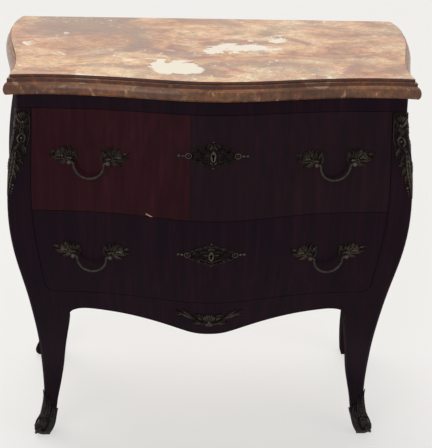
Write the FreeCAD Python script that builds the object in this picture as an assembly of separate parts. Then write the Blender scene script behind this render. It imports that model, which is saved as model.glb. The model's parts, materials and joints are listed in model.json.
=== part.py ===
import FreeCAD, Part
import math
import os
from FreeCAD import Vector

# Two-drawer bombe chest. Millimetres, +Z up, front towards -Y, mirror plane X = 0.
# Built in the case frame, where Y = 0 is the front line of the stone's ears and Z = 0 the floor,
# and moved at the end so that the origin is the bottom centre of the whole chest.

# ---- overall heights ----
TOTAL_HEIGHT = 860.0
STONE_THICKNESS = 36.0
FRIEZE_HEIGHT = 26.0
UPPER_FRONT_HEIGHT = 199.0
LOWER_FRONT_HEIGHT = 188.0
JOINT_GAP = 1.0              # visible gap round a drawer front
APRON_DROP = 83.0            # apron below the lower drawer, at its centre lobe
APRON_SIDE_DROP = 43.0       # apron below the lower drawer, beside the legs
APRON_CORNER = 24.0          # rounding between apron and leg

# ---- plan ----
FRONT_HALF_WIDTH = 365.0     # arris of the front posts at the case top
FRONT_LINE = 13.0            # the same arris behind the stone's ears
REAR_LINE = 392.0            # back face of the rear posts
REAR_FLARE = 35.0            # how much wider the back is, each side
SIDE_BOW = 13.0              # outward bow of a side in plan
FRONT_BOW = 46.0             # forward bow of the front at its belly
BOW_REACH = 160.0            # half-width over which the front bow fades
CASE_CLEAR = 20.0            # thickness of a side panel
BELLY_OUT = 27.0             # belly beyond the case top, sideways
BELLY_FORWARD = 26.0         # belly beyond the case top, forwards
ANKLE_IN = 10.0              # ankle inside the case top, sideways
ANKLE_BACK = 42.0            # ankle behind the case top
TOE_OUT = 12.0               # toe beyond the case top, sideways
ARRIS_RADIUS = 7.0
REAR_ARRIS_RADIUS = 4.0
POST_BACK = 60.0             # rear face of a front post
REAR_POST_DEPTH = 48.0
REAR_POST_WIDTH = 30.0       # face of a rear post at the case top
LEG_INSET = 75.0             # inner edge of the front leg head, inside the case top

# ---- stone top ----
STONE_OVER_FRONT = 19.0      # stone beyond the case sideways, at the front
STONE_OVER_REAR = 11.0       # the same at the back
STONE_OVER_BACK = 8.0        # stone behind the rear posts
STONE_FRONT_BOW = 36.0
STONE_SIDE_BOW = 17.0
STONE_EAR = 10.0             # how far the ears flick forward
STONE_RECESS = 9.0           # front edge between bow and ear
STONE_NOSE_HEIGHT = 23.0
STONE_STEP = 6.5             # each of the two square fillets above the nose
STONE_NOSE = 7.0             # nose beyond the lower fillet
STONE_LEDGE = 4.5            # ledge between the fillets

# ---- drawer openings ----
STILE_TOP = 29.0             # opening inside the case-top arris, at the top
STILE_BELLY = 20.0           # the same at the drawer joint
STILE_BOTTOM = 36.0          # the same at the apron
CORNER_RADIUS = 22.0         # lower corners of the lower drawer
INNER_LINE = 30.0            # inner face of fronts and apron at their ends
INNER_BOW = 30.0             # forward bow of that inner face
LIP = 15.0                   # front left standing in front of the middle rail
RAIL_THICKNESS = 18.0
BACK_RAIL_DEPTH = 25.0
RUNNER_WIDTH = 36.0
RUNNER_REACH = 15.0          # runner outside a drawer side
KICKER_WIDTH = 26.0
KICKER_REACH = 6.0           # kicker outside the upper drawer's side
GUIDE_WIDTH = 9.0
GUIDE_HEIGHT = 15.0
STOP_LENGTH = 10.0
STOP_HEIGHT = 10.0
SLIDE_GAP = 0.3              # between a drawer and what it slides on or stops at
REBATE_GAP = 0.8             # between a drawer lip and the middle rail

# ---- drawers ----
BOARD = 12.0                 # sides and backs
BOTTOM_BOARD = 6.0
GROOVE_DEPTH = 5.0
GROOVE_RISE = 8.0            # groove above the lower edge of a side
UPPER_SIDE_GAP = 11.0        # drawer side inside the opening at its top
LOWER_SIDE_GAP = 3.0         # drawer side inside the flat of the rounded bottom
DRAWER_TAIL = 3.0            # drawer sides over the front edge of the back rails
DRAWER_HEAD_GAP = 2.0        # drawer side below the kicker above it

# ---- locks ----
LOCK_WIDTH = 64.0
LOCK_HEIGHT = 86.0
LOCK_DEPTH = 13.0
LOCK_PROUD = 2.0
BOLT_WIDTH = 22.0
BOLT_THICKNESS = 6.0
BOLT_LENGTH = 32.0
BOLT_GAP = 0.1
BOLT_TRAVEL = 8.0
KEY_BELOW_TOP = 73.0
KEYHOLE_RADIUS = 2.6
KEYHOLE_SLOT = 2.4
KEYHOLE_DROP = 9.0

# ---- bronze mounts ----
HANDLE_INSET = 104.0         # handle's centre inside the opening's top corner
UPPER_PIVOT_DROP = 95.0      # pivots below the top of the upper front
LOWER_PIVOT_DROP = 91.0      # pivots below the top of the lower front
PIVOT_HALF = 36.5            # pivot from the centre of its handle
PIVOT_PROUD = 14.0           # pivot in front of the drawer
KNUCKLE_RADIUS = 5.5
KNUCKLE_LENGTH = 8.0
BAIL_RADIUS = 2.4
BAIL_BEND = 28.5
BAIL_ELBOW = 3.8
PIVOT_GAP = 0.05
STEM_RADIUS = 2.0
STEM_CLEAR = 0.2             # hole in the front round a stem
BOSS_RADIUS = 3.6
NUT_RADIUS = 4.6
NUT_THICKNESS = 3.2
SPOT_RADIUS = 7.0
SPOT_DEPTH = 1.5
PLATE_THICKNESS = 3.0
PLATE_LENGTH = 46.0
PLATE_HEIGHT = 34.0
ESCUTCHEON_HALF = 67.0
ESCUTCHEON_RISE = 27.0
ESCUTCHEON_FALL = 24.0
APRON_MOUNT_HALF = 66.0
APRON_MOUNT_HEIGHT = 41.0
APRON_MOUNT_FOOT = 20.0      # bottom of the apron mount above the lobe's edge
CHUTE_THICKNESS = 4.0
CHUTE_LENGTH = 186.0
CHUTE_WIDTH = 29.0
CHUTE_WRAP = 12.0            # reach round onto the side
CHUTE_EDGE = 2.0             # thickness on the arris and the side
SABOT_THICKNESS = 3.0
SABOT_HEIGHT = 132.0
SABOT_COLLAR = 74.0
MOUNT_GAP = 0.2              # cast bronze off the wood it is pinned to

# ---- back ----
BACK_PANEL = 8.0
BACK_REBATE = 10.0
BACK_PANEL_DROP = 60.0       # back panel below the lower runners
SCREW_HEAD = 3.6
SCREW_SHANK = 1.8
SCREW_LENGTH = 24.0
SCREW_INSET = 40.0           # outer screws inside the rear posts
BLOCK_LENGTH = 40.0
BLOCK_INSET = 50.0           # outer glue blocks inside the leg heads
BLOCK_PITCH = 160.0
BLOCK_SIZE = 22.0

# ---- heights and lines that follow ----
CASE_TOP = TOTAL_HEIGHT - STONE_THICKNESS
FRIEZE_BOTTOM = CASE_TOP - FRIEZE_HEIGHT
UPPER_TOP = FRIEZE_BOTTOM - JOINT_GAP
UPPER_BOTTOM = UPPER_TOP - UPPER_FRONT_HEIGHT
LOWER_TOP = UPPER_BOTTOM - JOINT_GAP
LOWER_BOTTOM = LOWER_TOP - LOWER_FRONT_HEIGHT
APRON_TOP = LOWER_BOTTOM - JOINT_GAP
JOINT_Z = (UPPER_BOTTOM + LOWER_TOP) / 2
RAIL_TOP = JOINT_Z + RAIL_THICKNESS / 2
RAIL_BOTTOM = JOINT_Z - RAIL_THICKNESS / 2
LEG_HEAD = FRONT_HALF_WIDTH - LEG_INSET
REAR_POST_FACE = REAR_LINE - REAR_POST_DEPTH
PANEL_FACE = REAR_LINE - BACK_PANEL
BACK_RAIL_FACE = PANEL_FACE - BACK_RAIL_DEPTH
INNER_CENTRE = INNER_LINE - INNER_BOW
REAR_POST_INNER = FRONT_HALF_WIDTH + REAR_FLARE - REAR_POST_WIDTH
STONE_HALF_FRONT = FRONT_HALF_WIDTH + STONE_OVER_FRONT
STONE_HALF_BACK = FRONT_HALF_WIDTH + REAR_FLARE + STONE_OVER_REAR
STONE_BACK = REAR_LINE + STONE_OVER_BACK
OPEN_TOP_HALF = FRONT_HALF_WIDTH - STILE_TOP
OPEN_BELLY_HALF = FRONT_HALF_WIDTH - STILE_BELLY
OPEN_BOTTOM_HALF = FRONT_HALF_WIDTH - STILE_BOTTOM
UPPER_SIDE_OUT = OPEN_TOP_HALF - UPPER_SIDE_GAP
LOWER_SIDE_OUT = OPEN_BOTTOM_HALF - CORNER_RADIUS - JOINT_GAP - LOWER_SIDE_GAP
HANDLE_X = OPEN_TOP_HALF - HANDLE_INSET
UPPER_PIVOT_Z = UPPER_TOP - UPPER_PIVOT_DROP
LOWER_PIVOT_Z = LOWER_TOP - LOWER_PIVOT_DROP
CLEAR_OUT = 2 * FRONT_HALF_WIDTH    # well outside the widest side
DRAWER_END = BACK_RAIL_FACE + DRAWER_TAIL
BOLT_FRONT = INNER_CENTRE + LOCK_PROUD - LOCK_DEPTH + 3


def station(share):
    """Height of a profile point: 0 is the floor, 1 the apron's top, 2 the case top."""
    if share <= 1:
        return share * APRON_TOP
    return APRON_TOP + (share - 1) * (CASE_TOP - APRON_TOP)


def smooth(points):
    """Natural cubic spline through the points, returned as a function."""
    xs = [p[0] for p in points]
    ys = [p[1] for p in points]
    last = len(xs) - 1
    bend = [0.0] * len(xs)
    load = [0.0] * len(xs)
    for i in range(1, last):
        ratio = (xs[i] - xs[i - 1]) / (xs[i + 1] - xs[i - 1])
        pivot = ratio * bend[i - 1] + 2
        rise = (ys[i + 1] - ys[i]) / (xs[i + 1] - xs[i]) - (ys[i] - ys[i - 1]) / (xs[i] - xs[i - 1])
        load[i] = (6 * rise / (xs[i + 1] - xs[i - 1]) - ratio * load[i - 1]) / pivot
        bend[i] = (ratio - 1) / pivot
    bend[last] = 0.0
    for i in range(last - 1, -1, -1):
        bend[i] = bend[i] * bend[i + 1] + load[i]

    def value(x):
        x = min(max(x, xs[0]), xs[last])
        i = 0
        while i < last - 1 and x > xs[i + 1]:
            i += 1
        span = xs[i + 1] - xs[i]
        a = (xs[i + 1] - x) / span
        b = 1 - a
        curve = ((a ** 3 - a) * bend[i] + (b ** 3 - b) * bend[i + 1]) * span * span / 6
        return a * ys[i] + b * ys[i + 1] + curve

    return value


def profile(shares, size=1.0):
    return smooth([(station(s), v * size) for s, v in shares])


# Outline of the arris from toe to case top: sideways, then forwards.
ARRIS_OUT = [(0, 0.3 * TOE_OUT), (0.035, TOE_OUT), (0.07, 0.66 * TOE_OUT), (0.1, 0.14 * TOE_OUT),
             (0.185, -0.6 * ANKLE_IN), (0.27, -0.85 * ANKLE_IN), (0.39, -0.95 * ANKLE_IN), (0.53, -ANKLE_IN),
             (0.68, -0.92 * ANKLE_IN), (0.81, -0.5 * ANKLE_IN), (1, 0.19 * BELLY_OUT), (1.22, 0.78 * BELLY_OUT),
             (1.43, BELLY_OUT), (1.6, 0.83 * BELLY_OUT), (1.74, 0.48 * BELLY_OUT), (1.88, 0.08 * BELLY_OUT), (2, 0)]
ARRIS_FORWARD = [(0, -0.95 * ANKLE_BACK), (0.035, -0.82 * ANKLE_BACK), (0.1, -0.86 * ANKLE_BACK),
                 (0.185, -0.97 * ANKLE_BACK), (0.27, -ANKLE_BACK), (0.39, -0.91 * ANKLE_BACK), (0.53, -0.62 * ANKLE_BACK),
                 (0.68, -0.25 * ANKLE_BACK), (0.81, 0), (1, 0.46 * BELLY_FORWARD), (1.22, 0.88 * BELLY_FORWARD),
                 (1.43, BELLY_FORWARD), (1.6, 0.83 * BELLY_FORWARD), (1.74, 0.6 * BELLY_FORWARD),
                 (1.88, 0.26 * BELLY_FORWARD), (2, 0)]
swell = profile(ARRIS_OUT)
advance = profile(ARRIS_FORWARD)
bow = profile([(0.75, 0.96), (1, 1), (1.22, 1.02), (1.45, 1), (1.7, 0.87), (1.92, 0.68), (2, 0.65)], FRONT_BOW)
side_shape = smooth([(0, 0), (0.11, -0.38), (0.23, -0.36), (0.37, 0.05), (0.52, 0.6), (0.66, 0.93), (0.79, 1),
                     (0.93, 0.55), (1, 0)])
leg_inset = profile([(0, 0.19), (0.035, 0.26), (0.07, 0.35), (0.11, 0.41), (0.185, 0.47), (0.27, 0.56), (0.39, 0.69),
                     (0.53, 0.79), (0.68, 0.93), (0.767, 1), (0.86, 1.01), (1, 1.012), (1.2, 1.01), (2, 1.01)], LEG_INSET)
leg_back = profile([(0, 7), (0.035, 12.5), (0.07, 18), (0.11, 21.5), (0.185, 25), (0.27, 28), (0.39, 27), (0.53, 18),
                    (0.68, 6), (0.767, 1), (0.86, 0.7), (1.2, 0.7), (2, 0.7)])
rear_taper = profile([(0, 18), (0.1, 17), (0.27, 15), (0.53, 8), (0.68, 2), (0.767, -0.5), (0.86, -0.8),
                      (1.2, -0.8), (2, -0.8)])
rear_inner = profile([(0, -10), (0.1, -14), (0.27, -16), (0.53, -10), (0.68, -5), (0.81, -2), (0.92, -1),
                      (1.2, -1), (2, -1)])
open_half = smooth([(APRON_TOP, OPEN_BOTTOM_HALF), (station(1.15), 0.62 * OPEN_BOTTOM_HALF + 0.38 * OPEN_BELLY_HALF),
                    (JOINT_Z, OPEN_BELLY_HALF), (station(1.7), 0.6 * OPEN_BELLY_HALF + 0.4 * OPEN_TOP_HALF),
                    (CASE_TOP, OPEN_TOP_HALF)])


def arris_x(z):
    return FRONT_HALF_WIDTH + swell(z)


def arris_y(z):
    return FRONT_LINE - advance(z)


def fade(x):
    return math.exp(-(x / BOW_REACH) ** 2)


def front_y(x, z):
    return arris_y(z) - bow(z) * fade(x)


def inner_y(x):
    return INNER_LINE - INNER_BOW * fade(x)


def side_x(y, z):
    t = (y - arris_y(z)) / (REAR_LINE - arris_y(z))
    return arris_x(z) + REAR_FLARE * t + SIDE_BOW * side_shape(t)


def spread(low, high, count):
    return [low + (high - low) * i / (count - 1) for i in range(count)]


# ---- general shapes ----
def mirrored(shape):
    return shape.mirror(Vector(0, 0, 0), Vector(1, 0, 0))


def box(x0, x1, y0, y1, z0, z1):
    return Part.makeBox(x1 - x0, y1 - y0, z1 - z0, Vector(x0, y0, z0))


def rod(radius, start, direction, length):
    return Part.makeCylinder(radius, length, start, direction)


def polyline(points):
    return [Part.LineSegment(a, b).toShape() for a, b in zip(points, points[1:])]


def curve(points):
    spline = Part.BSplineCurve()
    spline.interpolate(points)
    return spline.toShape()


def patch(points):
    surface = Part.BSplineSurface()
    surface.interpolate(points)
    return surface


def block_between(near, far):
    """Solid between two patches whose grids match."""
    a = patch(near)
    b = patch(far)
    u0, u1, v0, v1 = a.bounds()
    s0, s1, t0, t1 = b.bounds()
    faces = [a.toShape(), b.toShape()]
    for p, q in ((a.uIso(u0), b.uIso(s0)), (a.uIso(u1), b.uIso(s1)), (a.vIso(v0), b.vIso(t0)), (a.vIso(v1), b.vIso(t1))):
        faces.append(Part.makeRuledSurface(p.toShape(), q.toShape()))
    skin = Part.makeCompound(faces)
    skin.sewShape()
    solid = Part.makeSolid(skin.Shells[0])
    if solid.Volume < 0:
        solid.reverse()
    return solid


def prism_xz(edges, y0, y1):
    """Solid swept along Y from a closed outline drawn at Y = y0."""
    return Part.Face(Part.Wire(edges)).extrude(Vector(0, y1 - y0, 0))


def prism_plan(edges, height):
    return Part.Face(Part.Wire(edges)).extrude(Vector(0, 0, height))


# ---- the bombe front, one skin for frieze, drawers, apron and mounts ----
SKIN_HALF = OPEN_BELLY_HALF + 10
SKIN_LOW = APRON_TOP - APRON_DROP - 12
PLANED_FROM = SKIN_LOW       # the posts have flat joint faces from here up


def front_grid(proud, flat=None):
    rows = []
    for x in spread(-SKIN_HALF, SKIN_HALF, 27):
        row = []
        for z in spread(SKIN_LOW, CASE_TOP, 15):
            y = front_y(x, z) - proud if flat is None else flat(x)
            row.append(Vector(x, y, z))
        rows.append(row)
    return rows


front_stock = block_between(front_grid(0), front_grid(0, inner_y))
frieze_stock = block_between(front_grid(0), front_grid(0, lambda x: POST_BACK))
plate_stock = block_between(front_grid(PLATE_THICKNESS), front_grid(MOUNT_GAP))
CUT_FRONT = -150.0           # well in front of everything
CUT_BACK = 150.0             # behind the front posts


def opening_side(z0, z1, gap, sign):
    return [Vector(sign * (open_half(z) - gap), CUT_FRONT, z) for z in spread(z0, z1, 7)]


def drawer_outline(z0, z1, gap, radius):
    """Closed outline of a drawer front; radius rounds its lower corners."""
    low = z0 + radius
    right = opening_side(low, z1, gap, 1)
    left = opening_side(low, z1, gap, -1)
    edges = [curve(right), Part.LineSegment(right[-1], left[-1]).toShape(), curve(left)]
    if radius <= 0:
        return edges + [Part.LineSegment(right[0], left[0]).toShape()]
    corner_x = right[0].x - radius
    lean = radius * math.sqrt(0.5)
    for sign, start in ((1, right[0]), (-1, left[0])):
        middle = Vector(sign * (corner_x + lean), CUT_FRONT, low - lean)
        end = Vector(sign * corner_x, CUT_FRONT, z0)
        edges.append(Part.Arc(start, middle, end).toShape())
    edges.append(Part.LineSegment(Vector(corner_x, CUT_FRONT, z0), Vector(-corner_x, CUT_FRONT, z0)).toShape())
    return edges


def closed_wire(edges):
    return Part.Wire(Part.__sortEdges__(edges))


def outline_solid(edges):
    return Part.Face(closed_wire(edges)).extrude(Vector(0, CUT_BACK - CUT_FRONT, 0))


opening = outline_solid(drawer_outline(APRON_TOP, CASE_TOP + 5, 0, CORNER_RADIUS + JOINT_GAP))


# ---- stone top ----
def stone_front_y(x):
    t = abs(x) / STONE_HALF_FRONT
    return STONE_RECESS - STONE_FRONT_BOW * math.exp(-(x / (1.15 * BOW_REACH)) ** 2) - STONE_EAR * t ** 10


def stone_outline(inset, z):
    """Closed plan outline, inset all round except at the back."""
    half = STONE_HALF_FRONT - inset
    corner_y = stone_front_y(half) + inset
    front = [Vector(x, stone_front_y(x) + inset, z) for x in spread(-half, half, 25)]
    side = []
    for t in spread(0, 1, 13):
        y = corner_y + t * (STONE_BACK - corner_y)
        x = STONE_HALF_FRONT + t * (STONE_HALF_BACK - STONE_HALF_FRONT) + STONE_SIDE_BOW * side_shape(t) - inset
        side.append(Vector(x, y, z))
    side[0] = front[-1]
    other = [Vector(-p.x, p.y, p.z) for p in side]
    edges = [curve(front), curve(side), Part.LineSegment(side[-1], other[-1]).toShape(), curve(list(reversed(other)))]
    return Part.Wire(edges)


def marble_top():
    nose_top = CASE_TOP + STONE_NOSE_HEIGHT
    step_top = nose_top + STONE_STEP
    nose = []
    for angle in spread(-60, 90, 7):
        rise = math.sin(math.radians(angle))
        inset = STONE_NOSE * (1 - math.cos(math.radians(angle)))
        z = CASE_TOP + STONE_NOSE_HEIGHT * (rise + math.sin(math.radians(60))) / (1 + math.sin(math.radians(60)))
        nose.append(stone_outline(inset, z))
    body = Part.makeLoft(nose, True, True)
    low_step = Part.Face(stone_outline(STONE_NOSE, nose_top)).extrude(Vector(0, 0, STONE_STEP))
    high_step = Part.Face(stone_outline(STONE_NOSE + STONE_LEDGE, step_top))
    high_step = high_step.extrude(Vector(0, 0, TOTAL_HEIGHT - step_top))
    return body.fuse([low_step, high_step]).removeSplitter()


# ---- posts and legs ----
LEG_SHARES = [0, 0.035, 0.07, 0.11, 0.16, 0.21, 0.27, 0.33, 0.39, 0.46, 0.53, 0.6, 0.68, 0.75, 0.81, 0.87, 0.93, 1,
              1.1, 1.22, 1.33, 1.43, 1.52, 1.6, 1.67, 1.74, 1.81, 1.88, 1.94, 2]


def front_post_section(z, grow=0.0):
    """Plan section of the right front post; grow swells it for the shoe round the foot."""
    inner_x = FRONT_HALF_WIDTH - leg_inset(z) - grow
    back_y = POST_BACK + leg_back(z) + grow
    radius = ARRIS_RADIUS
    face_end = arris_x(z) + grow - radius
    front = [Vector(x, front_y(x, z) - grow, z) for x in spread(inner_x, face_end, 4)]
    side_start = arris_y(z) - grow + radius
    side = [Vector(side_x(y, z) + grow, y, z) for y in spread(side_start, back_y, 4)]
    nip = radius * (1 - math.sqrt(0.5))
    middle = Vector(arris_x(z) + grow - nip, arris_y(z) - grow + nip, z)
    back = Vector(inner_x, back_y, z)
    edges = [curve(front), Part.Arc(front[-1], middle, side[0]).toShape(), curve(side)]
    edges += polyline([side[-1], back, front[0]])
    return Part.Wire(edges)


def rear_post_section(z):
    outer_x = arris_x(z) + REAR_FLARE
    inner_x = REAR_POST_INNER + rear_inner(z)
    face_y = REAR_POST_FACE + rear_taper(z)
    radius = REAR_ARRIS_RADIUS
    side = [Vector(side_x(y, z), y, z) for y in spread(face_y, REAR_LINE - radius, 4)]
    nip = radius * (1 - math.sqrt(0.5))
    middle = Vector(outer_x - nip, REAR_LINE - nip, z)
    turn = Vector(outer_x - radius, REAR_LINE, z)
    edges = [curve(side), Part.Arc(side[-1], middle, turn).toShape()]
    edges += polyline([turn, Vector(inner_x, REAR_LINE, z), Vector(inner_x, face_y, z), side[0]])
    return Part.Wire(edges)


def front_leg_post():
    post = Part.makeLoft([front_post_section(station(s)) for s in LEG_SHARES], True, False)
    inner_plane = box(LEG_HEAD - 30, LEG_HEAD, CUT_FRONT, CUT_BACK, PLANED_FROM, CASE_TOP + 5)
    back_plane = box(LEG_HEAD - 30, CLEAR_OUT, POST_BACK, CUT_BACK, PLANED_FROM, CASE_TOP + 5)
    return post.cut(opening).cut(inner_plane).cut(back_plane)


def rear_leg_post():
    post = Part.makeLoft([rear_post_section(station(s)) for s in LEG_SHARES], True, False)
    rebate = box(REAR_POST_INNER - 5, REAR_POST_INNER + BACK_REBATE, PANEL_FACE, REAR_LINE + 5,
                 APRON_TOP - BACK_PANEL_DROP, CASE_TOP + 5)
    inner_plane = box(REAR_POST_INNER - 30, REAR_POST_INNER, 0, REAR_LINE + 5, PLANED_FROM, CASE_TOP + 5)
    front_plane = box(REAR_POST_INNER - 30, CLEAR_OUT, 0, REAR_POST_FACE, PLANED_FROM, CASE_TOP + 5)
    return post.cut(rebate).cut(inner_plane).cut(front_plane)


# ---- side panels ----
def side_panel():
    low = APRON_TOP - APRON_DROP
    outer = []
    inner = []
    for y in spread(POST_BACK - 12, REAR_POST_FACE + 12, 15):
        outer.append([Vector(side_x(y, z), y, z) for z in spread(low, CASE_TOP, 15)])
        inner.append([Vector(side_x(y, z) - CASE_CLEAR, y, z) for z in spread(low, CASE_TOP, 15)])
    panel = block_between(outer, inner)
    middle = (POST_BACK + REAR_POST_FACE) / 2
    quarter = (REAR_POST_FACE - POST_BACK) / 4
    crown = APRON_TOP - APRON_SIDE_DROP
    lobe = APRON_TOP - APRON_DROP * 0.78
    edge = [(POST_BACK, crown - 14), (POST_BACK + 14, crown), (middle - quarter, crown - 4), (middle, lobe),
            (middle + quarter, crown - 4), (REAR_POST_FACE - 14, crown), (REAR_POST_FACE, crown - 14)]
    scallop = curve([Vector(0, y, z) for y, z in edge])
    top = [Vector(0, REAR_POST_FACE, edge[-1][1]), Vector(0, REAR_POST_FACE, CASE_TOP),
           Vector(0, POST_BACK, CASE_TOP), Vector(0, POST_BACK, edge[0][1])]
    keep = Part.Face(Part.Wire([scallop] + polyline(top))).extrude(Vector(CLEAR_OUT, 0, 0))
    return panel.common(keep)


# ---- rails of the case ----
def bolt_mortise(z):
    return box(-BOLT_WIDTH / 2 - 1, BOLT_WIDTH / 2 + 1, BOLT_FRONT - 1, BOLT_FRONT + BOLT_THICKNESS + 1, z,
               z + BOLT_TRAVEL + 2)



def frieze_rail():
    band = box(-SKIN_HALF, SKIN_HALF, CUT_FRONT, CUT_BACK, FRIEZE_BOTTOM, CASE_TOP)
    return frieze_stock.common(opening).common(band).cut(bolt_mortise(FRIEZE_BOTTOM))


def plan_strip(front, half, back, z, height, count=21):
    """Board of a given height whose front edge follows a curve and whose back edge is straight."""
    edge = [Vector(x, front(x), z) for x in spread(-half, half, count)]
    rest = [edge[-1], Vector(half, back, z), Vector(-half, back, z), edge[0]]
    return prism_plan([curve(edge)] + polyline(rest), height)


def lip_line(x):
    return front_y(x, JOINT_Z) + LIP


def middle_rail():
    rail = plan_strip(lambda x: lip_line(x) + REBATE_GAP, OPEN_BELLY_HALF, POST_BACK, RAIL_BOTTOM, RAIL_THICKNESS)
    return rail.common(opening).cut(bolt_mortise(RAIL_BOTTOM))


def lower_rail():
    rail = box(-LEG_HEAD, LEG_HEAD, INNER_CENTRE - 5, POST_BACK, APRON_TOP - RAIL_THICKNESS, APRON_TOP)
    return max(rail.cut(front_stock).Solids, key=lambda s: s.BoundBox.YMax)


def apron_edge():
    """Lower edge of the apron from the right leg to the centre."""
    crown = APRON_TOP - APRON_SIDE_DROP
    lobe = APRON_TOP - APRON_DROP
    rise = crown - lobe
    half = LEG_HEAD
    corner = APRON_CORNER
    return [(half + corner / 24, crown - 1.2 * rise), (half - corner / 12, crown - 0.6 * rise),
            (half - 0.375 * corner, crown - 0.22 * rise), (half - corner, crown - 0.03 * rise), (0.8 * half, crown), (0.56 * half, crown - 0.18 * rise), (0.38 * half, crown - 0.4 * rise),
            (0.22 * half, crown - 0.7 * rise), (0.09 * half, lobe + 0.04 * rise), (0, lobe)]


def front_apron():
    right = apron_edge()
    points = [Vector(x, CUT_FRONT, z) for x, z in right]
    points += [Vector(-x, CUT_FRONT, z) for x, z in reversed(right[:-1])]
    low = APRON_TOP - 2 * APRON_DROP
    below = [points[-1], Vector(points[-1].x, CUT_FRONT, low), Vector(points[0].x, CUT_FRONT, low), points[0]]
    band = box(-LEG_HEAD, LEG_HEAD, CUT_FRONT, CUT_BACK, SKIN_LOW, APRON_TOP)
    return front_stock.common(band).cut(prism_xz([curve(points)] + polyline(below), CUT_FRONT, CUT_BACK))


def back_rail(z, height):
    return box(-REAR_POST_INNER, REAR_POST_INNER, BACK_RAIL_FACE, PANEL_FACE, z, z + height)


def runner(outer, z):
    return box(outer - RUNNER_WIDTH, outer, POST_BACK, BACK_RAIL_FACE, z - RAIL_THICKNESS, z)


def guide(side_out, z):
    return box(side_out + SLIDE_GAP, side_out + SLIDE_GAP + GUIDE_WIDTH, POST_BACK, BACK_RAIL_FACE, z, z + GUIDE_HEIGHT)


def stop_block(side_out, z):
    start = DRAWER_END + SLIDE_GAP
    return box(side_out - 2 * BOARD, side_out, start, start + STOP_LENGTH, z, z + STOP_HEIGHT)


def pair(shape):
    return [shape, mirrored(shape)]


# ---- drawers ----
def keyhole(z):
    reach = CUT_BACK - CUT_FRONT
    round_part = rod(KEYHOLE_RADIUS, Vector(0, CUT_FRONT, z), Vector(0, 1, 0), reach)
    slot = box(-KEYHOLE_SLOT / 2, KEYHOLE_SLOT / 2, CUT_FRONT, CUT_BACK, z - KEYHOLE_DROP, z)
    return round_part.fuse(slot)


def lock_case_block(top):
    y1 = INNER_CENTRE + LOCK_PROUD
    return box(-LOCK_WIDTH / 2, LOCK_WIDTH / 2, y1 - LOCK_DEPTH, y1, top - LOCK_HEIGHT, top)


def lock_case(top, key_z):
    slot = box(-BOLT_WIDTH / 2 - BOLT_GAP, BOLT_WIDTH / 2 + BOLT_GAP, BOLT_FRONT - BOLT_GAP,
               BOLT_FRONT + BOLT_THICKNESS + BOLT_GAP, top - BOLT_LENGTH - 2, top + 5)
    hole = keyhole(key_z).common(box(-20, 20, CUT_FRONT, INNER_CENTRE - 2, 0, CASE_TOP))
    return lock_case_block(top).cut(slot).cut(hole)


def lock_bolt(top):
    return box(-BOLT_WIDTH / 2, BOLT_WIDTH / 2, BOLT_FRONT, BOLT_FRONT + BOLT_THICKNESS, top - BOLT_LENGTH - 1,
               top - 1)


def handle_points(pivot_z):
    """Pivots of the right handle, inner one first."""
    points = []
    for x in (HANDLE_X - PIVOT_HALF, HANDLE_X + PIVOT_HALF):
        points.append(Vector(x, front_y(x, pivot_z) - PIVOT_PROUD, pivot_z))
    return points


def drawer_front(z0, z1, radius, rebate, side, side_z0, side_z1, lock_top, key_z, pivot_z):
    front = front_stock.common(outline_solid(drawer_outline(z0, z1, JOINT_GAP, radius)))
    low, high = rebate
    front = front.cut(plan_strip(lip_line, SKIN_HALF + 5, CUT_BACK, low, high - low))
    for shape in pair(box(side - BOARD, side, INNER_LINE - BOARD, CUT_BACK, side_z0, side_z1)):
        front = front.cut(shape)
    groove = plan_strip(lambda x: inner_y(x) - GROOVE_DEPTH, side - BOARD + GROOVE_DEPTH, CUT_BACK, side_z0 + GROOVE_RISE,
                        BOTTOM_BOARD)
    front = front.cut(groove).cut(lock_case_block(lock_top)).cut(keyhole(key_z))
    for point in handle_points(pivot_z):
        seat = inner_y(point.x) - SPOT_DEPTH
        hole = rod(STEM_RADIUS + STEM_CLEAR, Vector(point.x, CUT_FRONT, point.z), Vector(0, 1, 0),
                   CUT_BACK - CUT_FRONT)
        spot = rod(SPOT_RADIUS, Vector(point.x, seat, point.z), Vector(0, 1, 0), 40)
        for shape in pair(hole) + pair(spot):
            front = front.cut(shape)
    return front


def drawer_side(side, z0, z1):
    board = box(side - BOARD, side, INNER_LINE - BOARD, DRAWER_END, z0, z1)
    groove = box(side - BOARD - 1, side - BOARD + GROOVE_DEPTH, 0, DRAWER_END + 5, z0 + GROOVE_RISE,
                 z0 + GROOVE_RISE + BOTTOM_BOARD)
    return board.cut(groove)


def drawer_back(side, z0, z1):
    inner = side - BOARD
    return box(-inner, inner, DRAWER_END - BOARD, DRAWER_END, z0 + GROOVE_RISE + BOTTOM_BOARD, z1 - 10)


def drawer_bottom(side, z0):
    half = side - BOARD + GROOVE_DEPTH
    return plan_strip(lambda x: inner_y(x) - GROOVE_DEPTH, half, DRAWER_END, z0 + GROOVE_RISE, BOTTOM_BOARD)


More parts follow.
